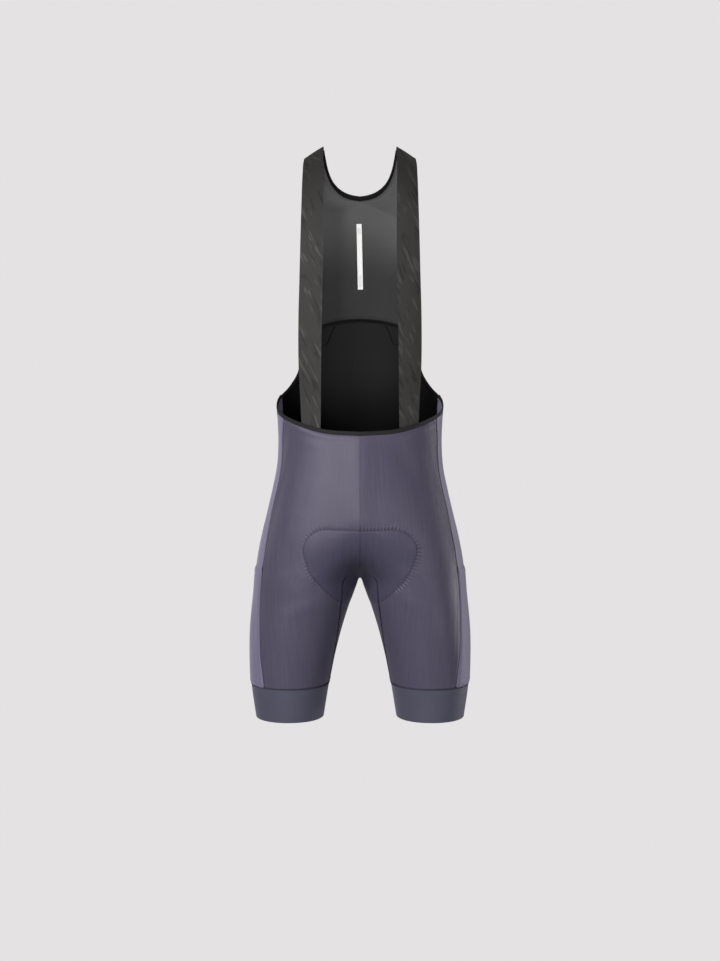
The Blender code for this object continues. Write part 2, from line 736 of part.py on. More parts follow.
def make_straps():
    """Rows run from inside the front of the waist binding up over the shoulder to the yoke."""
    heights = STRAP_EDGES["height"][1:-1]
    tuck = BINDING_WALL / 2 + STRAP_GAP + STRAP_WALL / 2
    tuck = tuck * (1 - ramp(heights, *STRAP_EASE))[:, None]
    columns = []
    for s in np.linspace(0, 1, STRAP_SHAPE[1] + 1):
        x = STRAP_EDGES["inner"] * (1 - s) + STRAP_EDGES["outer"] * s
        front = at_side(x[1:-1], heights, -1)
        foot = float(edge_height(turn_of(front[0]))) - STRAP_TUCK
        inward = -slope(front)
        inward *= tuck / np.linalg.norm(inward, axis=1, keepdims=True)
        start = at_side(x[0], foot, -1) + inward[0]
        front += inward
        back = at_side(x[-1], SHOULDER_SEAM + np.array([4 * MM, 0]), 1)
        rows = np.concatenate([[start], front, [[x[-1], 0, STRAP_TOP]], back])
        columns.append(through(rows, np.linspace(0, 1, STRAP_SHAPE[0] + 1)))
    grid = inset(np.stack(columns, axis=1), "top")
    pair("strap", shoulder(grid), "webbing", wall=STRAP_WALL)


def make_pad():
    """Rows run from the pad's back end under the crotch to its front end."""
    rows, columns = PAD_SHAPE
    turn = np.radians(np.linspace(*PAD_SWEEP, 300))
    heart = np.array([HIP_CENTRE])
    way = np.stack([np.cos(turn), np.sin(turn)], axis=1)
    at = lambda reach: heart + way * reach[:, None]
    reach = crossing(np.full(turn.shape, 0.2), lambda r: outside(0 * r, *at(r).T))
    profile = np.column_stack([0 * reach, at(reach)])
    low = np.argmin(profile[:, 2])
    first = np.argmax(profile[:, 2] < PAD_BACK)
    last = low + np.argmax(profile[low:, 2] > PAD_FRONT)
    share = np.linspace(0, 1, rows + 1)
    middle = at_shares(profile[first:last], share)
    rim = through(points_of(PAD_OUTLINE)[::-1], share)
    grid = onto_figure(between(middle, rim, columns + 1))
    grid = halved(grid, "left")
    grid = halved(grid - normals(grid) * (WALL / 2 + PAD_GAP), "left")
    side = np.minimum(1, PAD_BEVEL[1] * (1 - np.linspace(0, 1, columns + 1)))
    ends = np.minimum(1, PAD_BEVEL[0] * np.minimum(share, 1 - share))
    weights = PAD_RIM + (1 - PAD_RIM) * ends[:, None] * side
    sheet("seat_pad", grid, "padding", wall=PAD_WALL, mirrored=True, weights=weights, offset=-1)


for old in list(bpy.data.objects):
    bpy.data.objects.remove(old)
collection = bpy.data.collections.new("Bib shorts")
bpy.context.scene.collection.children.link(collection)
hems = bpy.data.objects.new("hems", None)
hems.location.z = -STRAP_TOP
collection.objects.link(hems)

seams = shorts_seams()
bib_seams(seams)
make_front(seams)
make_side(seams)
make_back(seams)
make_gusset(seams)
make_grippers()
make_waist_binding(seams)
make_lower_back(seams)
make_yoke(seams)
make_bindings(seams)
make_label()
make_straps()
make_pad()
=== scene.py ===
# %% [markdown]
# # Cycling bib shorts: cloth worked out as grids
#
# The garment is shown as if somebody invisible wore it: hollow, smooth and pulled tight. Each piece
# that a maker would cut becomes one grid of points on a general figure. The grid gets a wall, soft
# relief, a UV map in metres and a knitted finish; threads are laid along the seams afterwards.
# The frame holds the fixed model that every visible piece here rides on.

import bpy
import numpy as np
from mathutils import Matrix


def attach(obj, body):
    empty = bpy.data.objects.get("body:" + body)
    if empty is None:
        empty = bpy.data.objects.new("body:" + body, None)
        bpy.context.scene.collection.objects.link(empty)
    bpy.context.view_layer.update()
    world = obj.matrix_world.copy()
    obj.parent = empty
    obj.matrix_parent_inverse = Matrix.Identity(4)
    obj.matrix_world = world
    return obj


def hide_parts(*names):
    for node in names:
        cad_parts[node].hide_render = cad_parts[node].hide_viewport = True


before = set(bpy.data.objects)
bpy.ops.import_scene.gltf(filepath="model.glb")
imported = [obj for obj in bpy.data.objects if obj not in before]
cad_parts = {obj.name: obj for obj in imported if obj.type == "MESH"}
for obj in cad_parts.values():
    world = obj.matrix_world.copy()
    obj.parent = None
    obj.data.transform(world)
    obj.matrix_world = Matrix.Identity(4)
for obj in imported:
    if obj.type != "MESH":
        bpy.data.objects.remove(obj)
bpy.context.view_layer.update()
MM = 0.001
print("nodes in the frame:", len(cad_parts))


def add(name, data):
    """A new object that shows this data, put in the scene."""
    thing = bpy.data.objects.new(name, data)
    bpy.context.scene.collection.objects.link(thing)
    return thing


# %% [markdown]
# ## The camera
#
# It stands 2.4 m in front, a little above the middle of the garment, and looks slightly down. The
# height is measured up from the leg hems, and everything in this file is built that way and then
# lowered by STRAP_TOP, because the frame's origin lies between the wearer's shoulders.

# %% Camera
STRAP_TOP = 908.5 * MM
CAMERA_DISTANCE, CAMERA_HEIGHT = 2.4, 540.9 * MM
CAMERA_TILT, VIEW_HEIGHT = np.radians(3.833), np.radians(35.524)

lens = bpy.data.cameras.new("camera")
lens.sensor_fit = "VERTICAL"
lens.lens = lens.sensor_height / 2 / np.tan(VIEW_HEIGHT / 2)
camera = add("camera", lens)
camera.location = (0, -CAMERA_DISTANCE, CAMERA_HEIGHT - STRAP_TOP)
camera.rotation_euler = (np.pi / 2 - CAMERA_TILT, 0, 0)
bpy.context.scene.camera = camera
print("focal length", round(lens.lens, 1), "mm")

# %% [markdown]
# ## The studio
#
# A catalogue picture of a garment has one even, pale surround. The world gives the same pale grey
# to the camera everywhere, and a dimmer soft light to the cloth, so that the lamps can shape it.
# The floor is a wide disc in that grey, well below the hems. The picture is shown without a film
# curve, so a grey on a surface stays the grey that was meant.

# %% Surround and floor
PALE = (0.776, 0.761, 0.768)
SOFT_LIGHT = 0.27
FLOOR_DROP, FLOOR_RADIUS, FLOOR_SIDES = 0.45, 30.0, 96
bpy.context.scene.view_settings.view_transform = "Standard"


def pale_glow(tree, kind, strength_name, dimmed):
    """Nodes that show PALE to the camera and a dimmed light to everything else."""
    seen, cast = tree.nodes.new(kind), tree.nodes.new(kind)
    for node, strength in ((seen, 1.0), (cast, dimmed)):
        node.inputs["Color"].default_value = (*PALE, 1)
        node.inputs[strength_name].default_value = strength
    path, mix = tree.nodes.new("ShaderNodeLightPath"), tree.nodes.new("ShaderNodeMixShader")
    tree.links.new(path.outputs["Is Camera Ray"], mix.inputs[0])
    tree.links.new(cast.outputs[0], mix.inputs[1])
    tree.links.new(seen.outputs[0], mix.inputs[2])
    return mix.outputs[0]


world = bpy.data.worlds.new("studio")
world.use_nodes = True
glow = pale_glow(world.node_tree, "ShaderNodeBackground", "Strength", SOFT_LIGHT)
world.node_tree.links.new(glow, world.node_tree.nodes["World Output"].inputs["Surface"])
bpy.context.scene.world = world

paper = bpy.data.materials.new("pale_floor")
paper.use_nodes = True
glow = pale_glow(paper.node_tree, "ShaderNodeEmission", "Strength", SOFT_LIGHT)
paper.node_tree.links.new(glow, paper.node_tree.nodes["Material Output"].inputs["Surface"])
turn = np.linspace(0, 2 * np.pi, FLOOR_SIDES + 1)[:-1]
disc = np.stack([np.cos(turn), np.sin(turn), 0 * turn], axis=1) * FLOOR_RADIUS
disc -= [0, 0, STRAP_TOP + FLOOR_DROP]
floor_mesh = bpy.data.meshes.new("floor")
floor_mesh.from_pydata(disc.tolist(), [], [list(range(FLOOR_SIDES))])
floor_mesh.materials.append(paper)
floor = add("floor", floor_mesh)
print("floor", FLOOR_DROP, "m below the hems")

# %% [markdown]
# ## The lamps
#
# Every lamp stands on a ball round the middle of the garment, at a turn from the front and a rise
# above the level. The key light stands front left, and a weaker lamp between it and the camera
# gives the gleam left of the centre seam. The low ones light the legs, and the rim lamps graze
# both sides. All are soft squares of one size.

# %% Lamps
LAMP_DISTANCE, LAMP_SIZE = 2.6, 0.8
AIM = np.array([0, 0, -0.55])
LAMPS = {
    # turn and rise in degrees, then watts
    "key": (-45, 20, 32),
    "high": (-8, 35, 15),
    "gleam": (-23, 5, 22),
    "low": (-8, -12, 17),
    "low_right": (38, -12, 11),
    "left_rim": (-122, 5, 3),
    "right_rim": (120, 20, 16),
    "low_rim": (112, -10, 13),
}

for name, (turn, rise, watts) in LAMPS.items():
    turn, rise = np.radians(turn), np.radians(rise)
    level = np.array([np.sin(turn), -np.cos(turn)]) * np.cos(rise)
    light = bpy.data.lights.new(name, "AREA")
    light.shape, light.size, light.energy = "SQUARE", LAMP_SIZE, watts
    holder = add(name, light)
    holder.location = AIM + LAMP_DISTANCE * np.array([*level, np.sin(rise)])
    holder.rotation_euler = (np.pi / 2 - rise, 0, turn)
    holder.visible_camera = False
print("lamps:", ", ".join(LAMPS))

# %% [markdown]
# ## The figure
#
# A bib short is cut for a body, so the cloth lies on a general figure. It could be sculpted, but a
# table of level sections is easier to keep at the right sizes: each row says how far out, forward
# and back the figure reaches at one height. Smooth curves run through the rows, and each section is
# two squared ellipses, one for each leg, melted into one above the crotch.

# %% Sizes of the figure and its seams
WALL, BINDING_WALL, STRAP_WALL, LABEL_WALL = 1.2 * MM, 2.0 * MM, 1.0 * MM, 1.0 * MM
SEAM_GAP = 0.3 * MM
GRIPPER_TOP = 55 * MM
CROTCH = (6 * MM, 224.5 * MM)
GUSSET_TOP = 242.6 * MM
WAIST_BINDING_WIDTH, ARMHOLE_BINDING_WIDTH = 6 * MM, 5 * MM
NECK_BINDING_WIDTH, NECK_BINDING_TIP = 7.8 * MM, 3.9 * MM
NECK_TAPER = (20 * MM, 55 * MM)
ARCH_BAND_WIDTH = 5 * MM
BIB_SEAM_SHARE, BIB_SEAM_DIP = 0.84, 26 * MM
SHOULDER_SEAM = 895 * MM
SHOULDER_SLOPE, SHOULDER_CURVE = 0.55, 3.0
SHOULDER_EASE = (780 * MM, 900 * MM)
SQUARE_LEG, SQUARE_TRUNK = 2.12, 2.35
SQUARE_EASE = (200 * MM, 330 * MM)


def rows_of(columns, unit, *rows):
    """A table with named columns; every number is in this unit."""
    return dict(zip(columns.split(), np.array(rows, float).T * unit))


FIGURE = rows_of(
    "height outer gap front back blend", MM,
    (0, 167.7, 59.2, -61, 67, 10),
    (55, 175.0, 50.1, -68, 76, 10),
    (100, 176.5, 40.7, -75, 85, 10),
    (140, 175.8, 30.6, -81, 92, 10),
    (180, 172.4, 18.2, -87, 99, 10),
    (200, 170.2, 11.1, -90, 103, 10),
    (212, 169.3, 6.7, -92, 106, 10),
    (225, 168.4, 2.0, -94, 109, 10),
    (250, 165.6, -22, -98, 115, 20),
    (290, 158.2, -58, -104, 122, 18),
    (330, 148.4, -79, -106, 123, 12),
    (365, 140.1, -86, -106, 117, 8),
    (403, 132.3, -88, -104, 106, 8),
    (442, 129.6, -89, -101, 95, 8),
    (480, 130.8, -90, -98, 88, 8),
    (510, 132.5, -90, -98, 85, 8),
    (560, 135, -90, -102, 84, 8),
    (632, 142, -90, -106, 89, 8),
    (700, 149, -90, -105, 93, 8),
    (770, 153, -90, -98, 90, 8),
    (817, 153, -90, -84, 81, 8),
    (841, 151, -90, -72, 72, 8),
    (864, 148, -90, -57, 57, 8),
    (881, 145, -90, -42, 42, 8),
    (895, 142, -90, -27, 27, 8),
)
SIDE_SEAMS = rows_of(
    "height front back", MM,
    (55, 151.6, 158),
    (75, 154.0, 160),
    (100, 157.0, 162.5),
    (126, 158.2, 164),
    (163, 158.6, 163),
    (200, 157.5, 159.5),
    (225, 155.5, 156.5),
    (262, 150.0, 151),
    (292, 145.0, 145.5),
    (330, 138.0, 137.5),
    (381, 126.0, 128),
    (423, 121.0, 124),
    (456, 120.5, 124),
    (482, 118.5, 125.5),
    (517, 118.5, 127),
)
GUSSET_FRONT = rows_of(
    "x y z", MM,
    (50.5, -6, 55),
    (43.5, -13, 90),
    (38.2, -24, 122),
    (33.9, -38, 155),
    (30.2, -50, 182),
    (26.2, -58, 208),
    (21.6, -62, 225),
    (14.5, -62, 237),
    (0, -61, 242.6),
)
GUSSET_BACK = rows_of(
    "x y z", MM,
    (51.5, 20, 55),
    (44.5, 27, 90),
    (39.0, 37, 122),
    (34.8, 49, 155),
    (31.2, 60, 182),
    (27.2, 68, 208),
    (22.6, 72, 225),
    (15.0, 73, 237),
    (0, 72, 242.6),
)
WAIST_EDGE = {
    "turn": np.array([-13, 24, 42, 61, 77, 90, 108], float),
    "height": np.array([461, 466.5, 475, 486, 495, 503, 517], float) * MM,
}
ARMHOLE_EDGE = rows_of(
    "height x", MM,
    (517, 127),
    (528, 117),
    (538, 110),
    (548, 104.3),
    (561, 99.8),
    (580, 97),
    (610, 95.5),
    (640, 95),
    (700, 93),
    (770, 91),
    (830, 90),
    (895, 89.3),
)
NECK_EDGE = rows_of(
    "x height", MM,
    (0, 839.8),
    (13.5, 841.9),
    (24, 845.4),
    (34.3, 851.6),
    (42, 859.3),
    (48.2, 870),
    (52.0, 881),
    (55, 895),
)
ARCH = rows_of("x height", MM, (0, 639), (30, 636.5), (60, 630), (96, 618))
BACK_POCKET_TOP = rows_of(
    "x height", MM,
    (0, 633),
    (44, 628),
    (49, 618),
    (53, 606),
    (62, 601),
    (90, 588),
)
STRAP_EDGES = rows_of(
    "height inner outer", MM,
    (455, 61.6, 90.0),
    (475, 61.1, 91.0),
    (510, 60.4, 92.5),
    (560, 59.5, 94.0),
    (632, 58.2, 94.0),
    (700, 56.7, 92.1),
    (770, 56.0, 90.4),
    (817, 56.4, 89.5),
    (841, 56.8, 89.3),
    (864, 57.2, 89.2),
    (881, 57.4, 89.0),
    (895, 57.6, 88.9),
    (908, 57.8, 87.4),
)
PAD_OUTLINE = rows_of(
    "x y z", MM,
    (60, -100, 311),
    (78, -92, 298),
    (86, -91, 281),
    (82, -92, 257),
    (75, -92, 240),
    (61, -88, 221),
    (46, -78, 206),
    (34, -60, 194),
    (26, -30, 186),
    (23, 5, 183),
    (26, 40, 188),
    (36, 74, 202),
    (56, 100, 226),
    (76, 112, 256),
    (80, 116, 290),
    (60, 120, 325),
)
print("the figure has", len(FIGURE["height"]), "level sections")

# %% [markdown]
# Reading a table between its rows takes a cubic curve. The figure itself is a function, outside(),
# that is zero on the cloth and positive away from the body. Halving an interval again and again
# finds the surface along a level ray.

# %% The figure as a surface
FARTHEST = 0.3
HALVINGS = 30


def read(table, name, at, by="height"):
    """A column's value at these places: a cubic curve through the rows, level past both ends."""
    x, y = table[by], table[name]
    rate = np.gradient(y, x)
    at = np.clip(at, x[0], x[-1])
    i = np.clip(np.searchsorted(x, at) - 1, 0, len(x) - 2)
    step = x[i + 1] - x[i]
    t = (at - x[i]) / step
    start = y[i] * (1 + 2 * t) * (1 - t) ** 2 + rate[i] * step * t * (1 - t) ** 2
    return start + y[i + 1] * t * t * (3 - 2 * t) + rate[i + 1] * step * t * t * (t - 1)


def ramp(at, low, high):
    """0 below low, 1 above high, and an S between."""
    t = np.clip((at - low) / (high - low), 0, 1)
    return t * t * (3 - 2 * t)


def section(z):
    """Centre and half sizes of one half's section at this height."""
    outer, gap = read(FIGURE, "outer", z), read(FIGURE, "gap", z)
    front, back = read(FIGURE, "front", z), read(FIGURE, "back", z)
    return (outer + gap) / 2, (outer - gap) / 2, (front + back) / 2, (back - front) / 2


def outside(x, y, z):
    """About how far a point lies outside the figure: two squared ellipses, (|x/a|^n + |y/b|^n)
    to the power 1/n, melted into one."""
    cx, wide, cy, deep = section(z)
    power = SQUARE_LEG + (SQUARE_TRUNK - SQUARE_LEG) * ramp(z, *SQUARE_EASE)
    blend = read(FIGURE, "blend", z)
    depth = np.abs((y - cy) / deep) ** power
    left, right = (
        ((np.abs((side * x - cx) / wide) ** power + depth) ** (1 / power) - 1) * np.minimum(wide, deep)
        for side in (1, -1)
    )
    melt = np.maximum(blend - np.abs(left - right), 0) / blend
    return np.minimum(left, right) - melt**2 * blend / 4


def crossing(end, value):
    """The parameter between 0 and end at which value(parameter) turns positive, by halving."""
    low, high = np.zeros_like(end), end
    for _ in range(HALVINGS):
        middle = (low + high) / 2
        out = value(middle) > 0
        low, high = np.where(out, low, middle), np.where(out, middle, high)
    return (low + high) / 2


def on_section(turn, z):
    """The figure's point at this turn, in degrees from the front, round one half's centre."""
    turn, z = np.broadcast_arrays(np.asarray(turn, float), np.asarray(z, float))
    cx, _, cy, _ = section(z)
    across, along = np.sin(np.radians(turn)), -np.cos(np.radians(turn))
    away = np.full(z.shape, FARTHEST)
    reach = crossing(away, lambda r: outside(cx + r * across, cy + r * along, z))
    return np.stack([cx + reach * across, cy + reach * along, z], axis=-1)


def at_side(x, z, side):
    """The figure's point at this x and height, on the front (side -1) or the back (side 1)."""
    x, z = np.broadcast_arrays(np.asarray(x, float), np.asarray(z, float))
    cy = section(z)[2]
    reach = crossing(np.full(z.shape, FARTHEST), lambda r: outside(x, cy + side * r, z))
    return np.stack([x, cy + side * reach, z], axis=-1)


def turn_of(points):
    """The turn of points round one half's centre, from -90 at the inner leg to 270 there again."""
    cx, _, cy, _ = section(points[..., 2])
    turn = np.degrees(np.arctan2(points[..., 0] - cx, -(points[..., 1] - cy)))
    return np.where(turn < -90, turn + 360, turn)


print("the waist is", round(2000 * on_section(90, 442 * MM)[0]), "mm wide")

# %% [markdown]
# Which way the cloth faces at a point is the gradient of outside() there: how much it grows along
# each axis. Stepping against it, again and again, brings any nearby point onto the figure.

# %% Directions on the figure
SLOPE_STEP = 1e-5
SHARE_OF_ROUND, FLATTEST = 0.8, 1e-3


def slope(points):
    """The gradient of outside() at these points."""
    moved = (np.eye(3) * SLOPE_STEP)[:, None] * [[1], [-1]]
    value = [[outside(*np.moveaxis(points + m, -1, 0)) for m in pair] for pair in moved]
    return np.stack([(high - low) / (2 * SLOPE_STEP) for high, low in value], axis=-1)


def unit(vectors):
    """The same directions, with length 1."""
    return vectors / np.linalg.norm(vectors, axis=-1, keepdims=True)


def onto_figure(points, level=False, rounds=16):
    """Points moved along the gradient until they lie on the figure, most of what is left in each
    round; level keeps their height."""
    points = np.array(points, float)
    for _ in range(rounds):
        grad = slope(points)
        if level:
            grad[..., 2] = 0
        off = outside(*np.moveaxis(points, -1, 0))[..., None]
        steep = np.maximum((grad**2).sum(-1, keepdims=True), FLATTEST)
        points -= SHARE_OF_ROUND * off * grad / steep
    return points


thigh = onto_figure([[0.1, -0.1, 0.1]])[0]
print("a point in front of the thigh moves to", (thigh / MM).round(1), "mm")

# %% [markdown]
# The last tools are for lines and grids. A line is a row of points, spaced by shares of its length.
# A grid has its rows up the cloth and its columns across, and its two directions give its normals.

# %% Lines and grids
CURVE_POINTS = 1500


def lengths(points):
    """The length of a polyline from its start to each of its points."""
    return np.concatenate([[0], np.cumsum(np.linalg.norm(np.diff(points, axis=0), axis=1))])


def at_shares(curve, share):
    """Points at these shares of a polyline's length."""
    place = lengths(curve)
    return np.stack([np.interp(np.asarray(share) * place[-1], place, c) for c in curve.T], axis=-1)


def through(rows, share):
    """Points at these shares of the length of the smooth curve through some points."""
    place = lengths(rows)
    dense = np.linspace(0, place[-1], CURVE_POINTS)
    curve = [read({"place": place, "value": c}, "value", dense, by="place") for c in rows.T]
    return at_shares(np.stack(curve, axis=-1), share)


def points_of(table, names="x y z"):
    """The rows of a table as points."""
    return np.stack([table[n] for n in names.split()], axis=-1)


def between(a, b, t):
    """Points at shares t of the way from a to b, as a new second-last axis."""
    t = np.asarray(t)[:, None]
    return np.asarray(a)[..., None, :] * (1 - t) + np.asarray(b)[..., None, :] * t


def steps(*stretches):
    """Numbers from the first start to the last end; each stretch is (start, end, count)."""
    parts = [np.linspace(start, end, count + 1)[1:] for start, end, count in stretches]
    return np.concatenate([[stretches[0][0]], *parts])


def normals(grid):
    """Unit normals of a grid; they point out when columns follow the turn and rows go up."""
    return unit(np.cross(np.gradient(grid, axis=1), np.gradient(grid, axis=0)))


def inset(grid, sides="left right bottom top", by=SEAM_GAP / 2):
    """The grid with these sides drawn in along the cloth, so that a seam keeps its gap."""
    out, shift = normals(grid), np.zeros_like(grid)
    edges = {
        "left": ((slice(None), 0), 1),
        "right": ((slice(None), -1), -1),
        "bottom": ((0, slice(None)), -1),
        "top": ((-1, slice(None)), 1),
    }
    for name in sides.split():
        place, sign = edges[name]
        run = np.gradient(grid[place], axis=0)
        shift[place] += by * sign * unit(np.cross(run, out[place]))
    return grid + shift


def centred(grid, side):
    """A half grid with this side laid on the centre plane."""
    grid[:, 0 if side == "left" else -1, 0] = 0
    return grid


MIRROR = np.array([-1, 1, 1])


def whole(half, side):
    """Both halves of a piece whose named side lies on the centre plane."""
    if side == "left":
        return np.concatenate([half[:, :0:-1] * MIRROR, half], axis=1)
    return np.concatenate([half, half[:, -2::-1] * MIRROR], axis=1)


def bell(away, wide):
    """A bell: exp(-(away / wide)^2)."""
    return np.exp(-((away / wide) ** 2))


print("a seam keeps a gap of", round(SEAM_GAP / MM, 1), "mm")

# %% [markdown]
# ## Seams
#
# A seam is one row of points, and both pieces beside it are built from the same row, so that they
# meet along its whole length. The rows lie close together near the seat pad, where the cloth
# puckers, and further apart elsewhere.

# %% Rows, columns and the seams of the shorts
LEG = steps((0, 0.62, 44), (0.62, 1, 50))
TRUNK = steps((0, 0.36, 56), (0.36, BIB_SEAM_SHARE, 44), (BIB_SEAM_SHARE, 1, 14))[1:]
LEG_ROWS, TRUNK_ROWS, EDGE_ROWS = len(LEG) - 1, 100, 14
FRONT_COLUMNS = steps((0, 0.025, 6), (0.025, 0.6, 68), (0.6, 0.97, 30), (0.97, 1, 6))
SIDE_COLUMNS = steps((0, 0.035, 6), (0.035, 0.965, 44), (0.965, 1, 6))
BACK_COLUMNS = steps((0, 0.03, 6), (0.03, 0.4, 28), (0.4, 0.975, 50), (0.975, 1, 6))
GUSSET_COLUMNS = steps((0, 0.08, 5), (0.08, 0.92, 26), (0.92, 1, 5))
BACK_WIDE = steps((0, 0.03, 5), (0.03, 1, 56))
LEVEL_BELOW = CROTCH[1] - 25 * MM


def edge_height(turn):
    """Height of the waist's free edge at this turn."""
    return read(WAIST_EDGE, "height", turn, by="turn")


def waist_below_binding(turn):
    """Height of the line under the waist binding at this turn."""
    return edge_height(turn) - WAIST_BINDING_WIDTH


def side_seam(name, z):
    """The side panel's front or back seam at these heights."""
    return at_side(read(SIDE_SEAMS, name, z), z, -1 if name == "front" else 1)


def gusset_seam(table):
    """A gusset seam from the gripper to the centre plane, with a point on each leg row."""
    curve = through(points_of(table), LEG)
    curve[0, 2] = GRIPPER_TOP
    seam = onto_figure(curve)
    low = curve[:, 2] < LEVEL_BELOW
    seam[low] = onto_figure(curve[low], level=True)
    seam[-1, 0] = 0
    return seam


def centre_seam(side, z):
    """The figure's centre line at these heights, on the front (-1) or the back (1)."""
    return at_side(np.zeros_like(z), z, side)


def trunk_rows(top, shares):
    """Heights at these shares of the way from the gusset's top to this one."""
    return GUSSET_TOP + shares * (top - GUSSET_TOP)


def shorts_seams():
    """Every seam of the shorts' left half, each from its foot up."""
    gusset = {"front": gusset_seam(GUSSET_FRONT), "back": gusset_seam(GUSSET_BACK)}
    seams = {"gusset_" + k: v for k, v in gusset.items()}
    for name in ("front", "back"):
        top = waist_below_binding(turn_of(side_seam(name, SIDE_SEAMS["height"][-2])))
        rise = trunk_rows(float(top), TRUNK)
        seams["side_" + name] = side_seam(name, np.concatenate([gusset[name][:, 2], rise]))
    front_top = waist_below_binding(turn_of(centre_seam(-1, WAIST_EDGE["height"][:1])))[0]
    seams["centre_front"] = centre_seam(-1, trunk_rows(front_top, TRUNK))
    bib_side = seams["side_back"][LEG_ROWS + TRUNK_ROWS, 2]
    rise = trunk_rows(bib_side - BIB_SEAM_DIP, TRUNK[:TRUNK_ROWS] / BIB_SEAM_SHARE)
    seams["centre_back"] = centre_seam(1, rise)
    return seams


SEAMS = shorts_seams()
print("side seam", round(float(lengths(SEAMS["side_front"])[-1]), 3), "m long")

# %% [markdown]
# ## Seams of the bib
#
# The bib has two free edges, the neck and the armhole, and each has a narrow binding. The line
# under a binding is the free edge moved sideways along the cloth. Above the chest every level
# section is tilted, so that the shoulders slope.

# %% The bib's lines
ARMHOLE_ROWS, CENTRE_ROWS, NECK_ROWS = 34, 50, 50
ARMHOLE_CROWDING = 1.7


def shoulder(points):
    """Points of the figure's back or front with the slope of the shoulders put in."""
    out = np.maximum(np.abs(points[..., 0]) - STRAP_EDGES["inner"][-1], 0)
    drop = SHOULDER_SLOPE * out + SHOULDER_CURVE * out**2
    moved = np.array(points)
    moved[..., 2] -= drop * ramp(points[..., 2], *SHOULDER_EASE)
    return moved


def drawn_in(curve, by):
    """A curve on the figure moved sideways on it, to the right of its run as seen from outside."""
    aside = unit(np.cross(np.gradient(curve, axis=0), slope(curve)))
    return onto_figure(curve + aside * np.broadcast_to(by, len(curve))[:, None])


def arch(x):
    """Height of the arched band's middle at this x."""
    return read(ARCH, "height", np.abs(x), by="x")


def bib_seam(t):
    """Height of the seam between the shorts' back and the bib, from the side to the centre."""
    side = SEAMS["side_back"][LEG_ROWS + TRUNK_ROWS, 2]
    return side - BIB_SEAM_DIP * (1 - (1 - t) ** 2)


def neck_seams(seams):
    """Adds the neck's lines: edge is the free edge, the other is under the binding."""
    edge = through(points_of(NECK_EDGE, "x height"), np.linspace(0, 1, 160))
    edge = at_side(edge[:, 0], edge[:, 1], 1)
    taper = ramp(edge[:, 0], *NECK_TAPER)
    width = NECK_BINDING_WIDTH + (NECK_BINDING_TIP - NECK_BINDING_WIDTH) * taper
    neck = drawn_in(edge, -width)
    neck[0] = at_side(0, edge[0, 2] - NECK_BINDING_WIDTH, 1)
    neck[-1] = at_side(neck[-1, 0], SHOULDER_SEAM, 1)
    share = np.linspace(0, 1, NECK_ROWS + 1)
    seams["neck"], seams["neck_edge"] = at_shares(neck, share), at_shares(edge, share)


def armhole_seams(seams):
    """Adds the armhole's lines, and the yoke's centre line, which goes on along the neck."""
    heights = np.linspace(ARMHOLE_EDGE["height"][0], SHOULDER_SEAM, 400)
    line = drawn_in(at_side(read(ARMHOLE_EDGE, "x", heights), heights, 1), ARMHOLE_BINDING_WIDTH)
    line = line[np.argsort(line[:, 2])]
    start = seams["side_back"][-1]
    arch_end = ARCH["height"][-1] + np.array([-0.5, 0.5]) * ARCH_BAND_WIDTH
    share = np.linspace(0, 1, ARMHOLE_ROWS + 1)[1:] ** ARMHOLE_CROWDING
    low = start[2] + (arch_end[0] - start[2]) * share
    rise = np.linspace(arch(0) + ARCH_BAND_WIDTH / 2, seams["neck"][0, 2], CENTRE_ROWS + 1)
    right = np.concatenate([centre_seam(1, rise)[:-1], seams["neck"]])
    rise = lengths(right) / lengths(right)[-1]
    heights = np.concatenate([low, arch_end[1] + (SHOULDER_SEAM - arch_end[1]) * rise])
    armhole = at_side(np.interp(heights, line[:, 2], line[:, 0]), heights, 1)
    seams["armhole"] = np.concatenate([[start], armhole])
    edge = drawn_in(seams["armhole"], -ARMHOLE_BINDING_WIDTH)
    edge[0] = on_section(turn_of(start), start[2] + WAIST_BINDING_WIDTH)
    edge[-1] = at_side(edge[-1, 0], SHOULDER_SEAM, 1)
    seams["armhole_edge"], seams["yoke_centre"] = edge, right


neck_seams(SEAMS)
armhole_seams(SEAMS)
print("armhole", round(float(lengths(SEAMS["armhole"])[-1]), 3), "m long")

# %% [markdown]
# ## Relief
#
# Tight cloth is not a perfect egg. The centre seam stands up as a soft ridge, the seams sink into
# grooves with a swelling beside them, the seat pad shows through with its stitched rim, and a few
# long shallow creases run where the cloth is pulled. All of it is a distance along the outward
# direction, worked out from where a point lies, so neighbouring pieces move alike.

# %% Distances from a line on the cloth


def near(points, curve, closed=False):
    """For each point: its distance from a curve on the figure, how far along the curve the
    nearest place is, and on which side it lies, 1 to the right of the curve's run."""
    flat = points.reshape(-1, 3)
    square = (curve**2).sum(1) - 2 * flat @ curve.T
    i = np.argmin(square, axis=1)
    run = np.roll(curve, -1, 0) - np.roll(curve, 1, 0) if closed else np.gradient(curve, axis=0)
    run, away = unit(run), flat - curve[i]
    along = (away * run[i]).sum(1)
    across = away - along[:, None] * run[i]
    aside = unit(np.cross(run, slope(curve)))[i]
    shape = points.shape[:-1]
    where = lengths(curve)[i] + along
    distance, side = np.linalg.norm(across, axis=1), np.sign((away * aside).sum(1))
    return distance.reshape(shape), where.reshape(shape), side.reshape(shape)


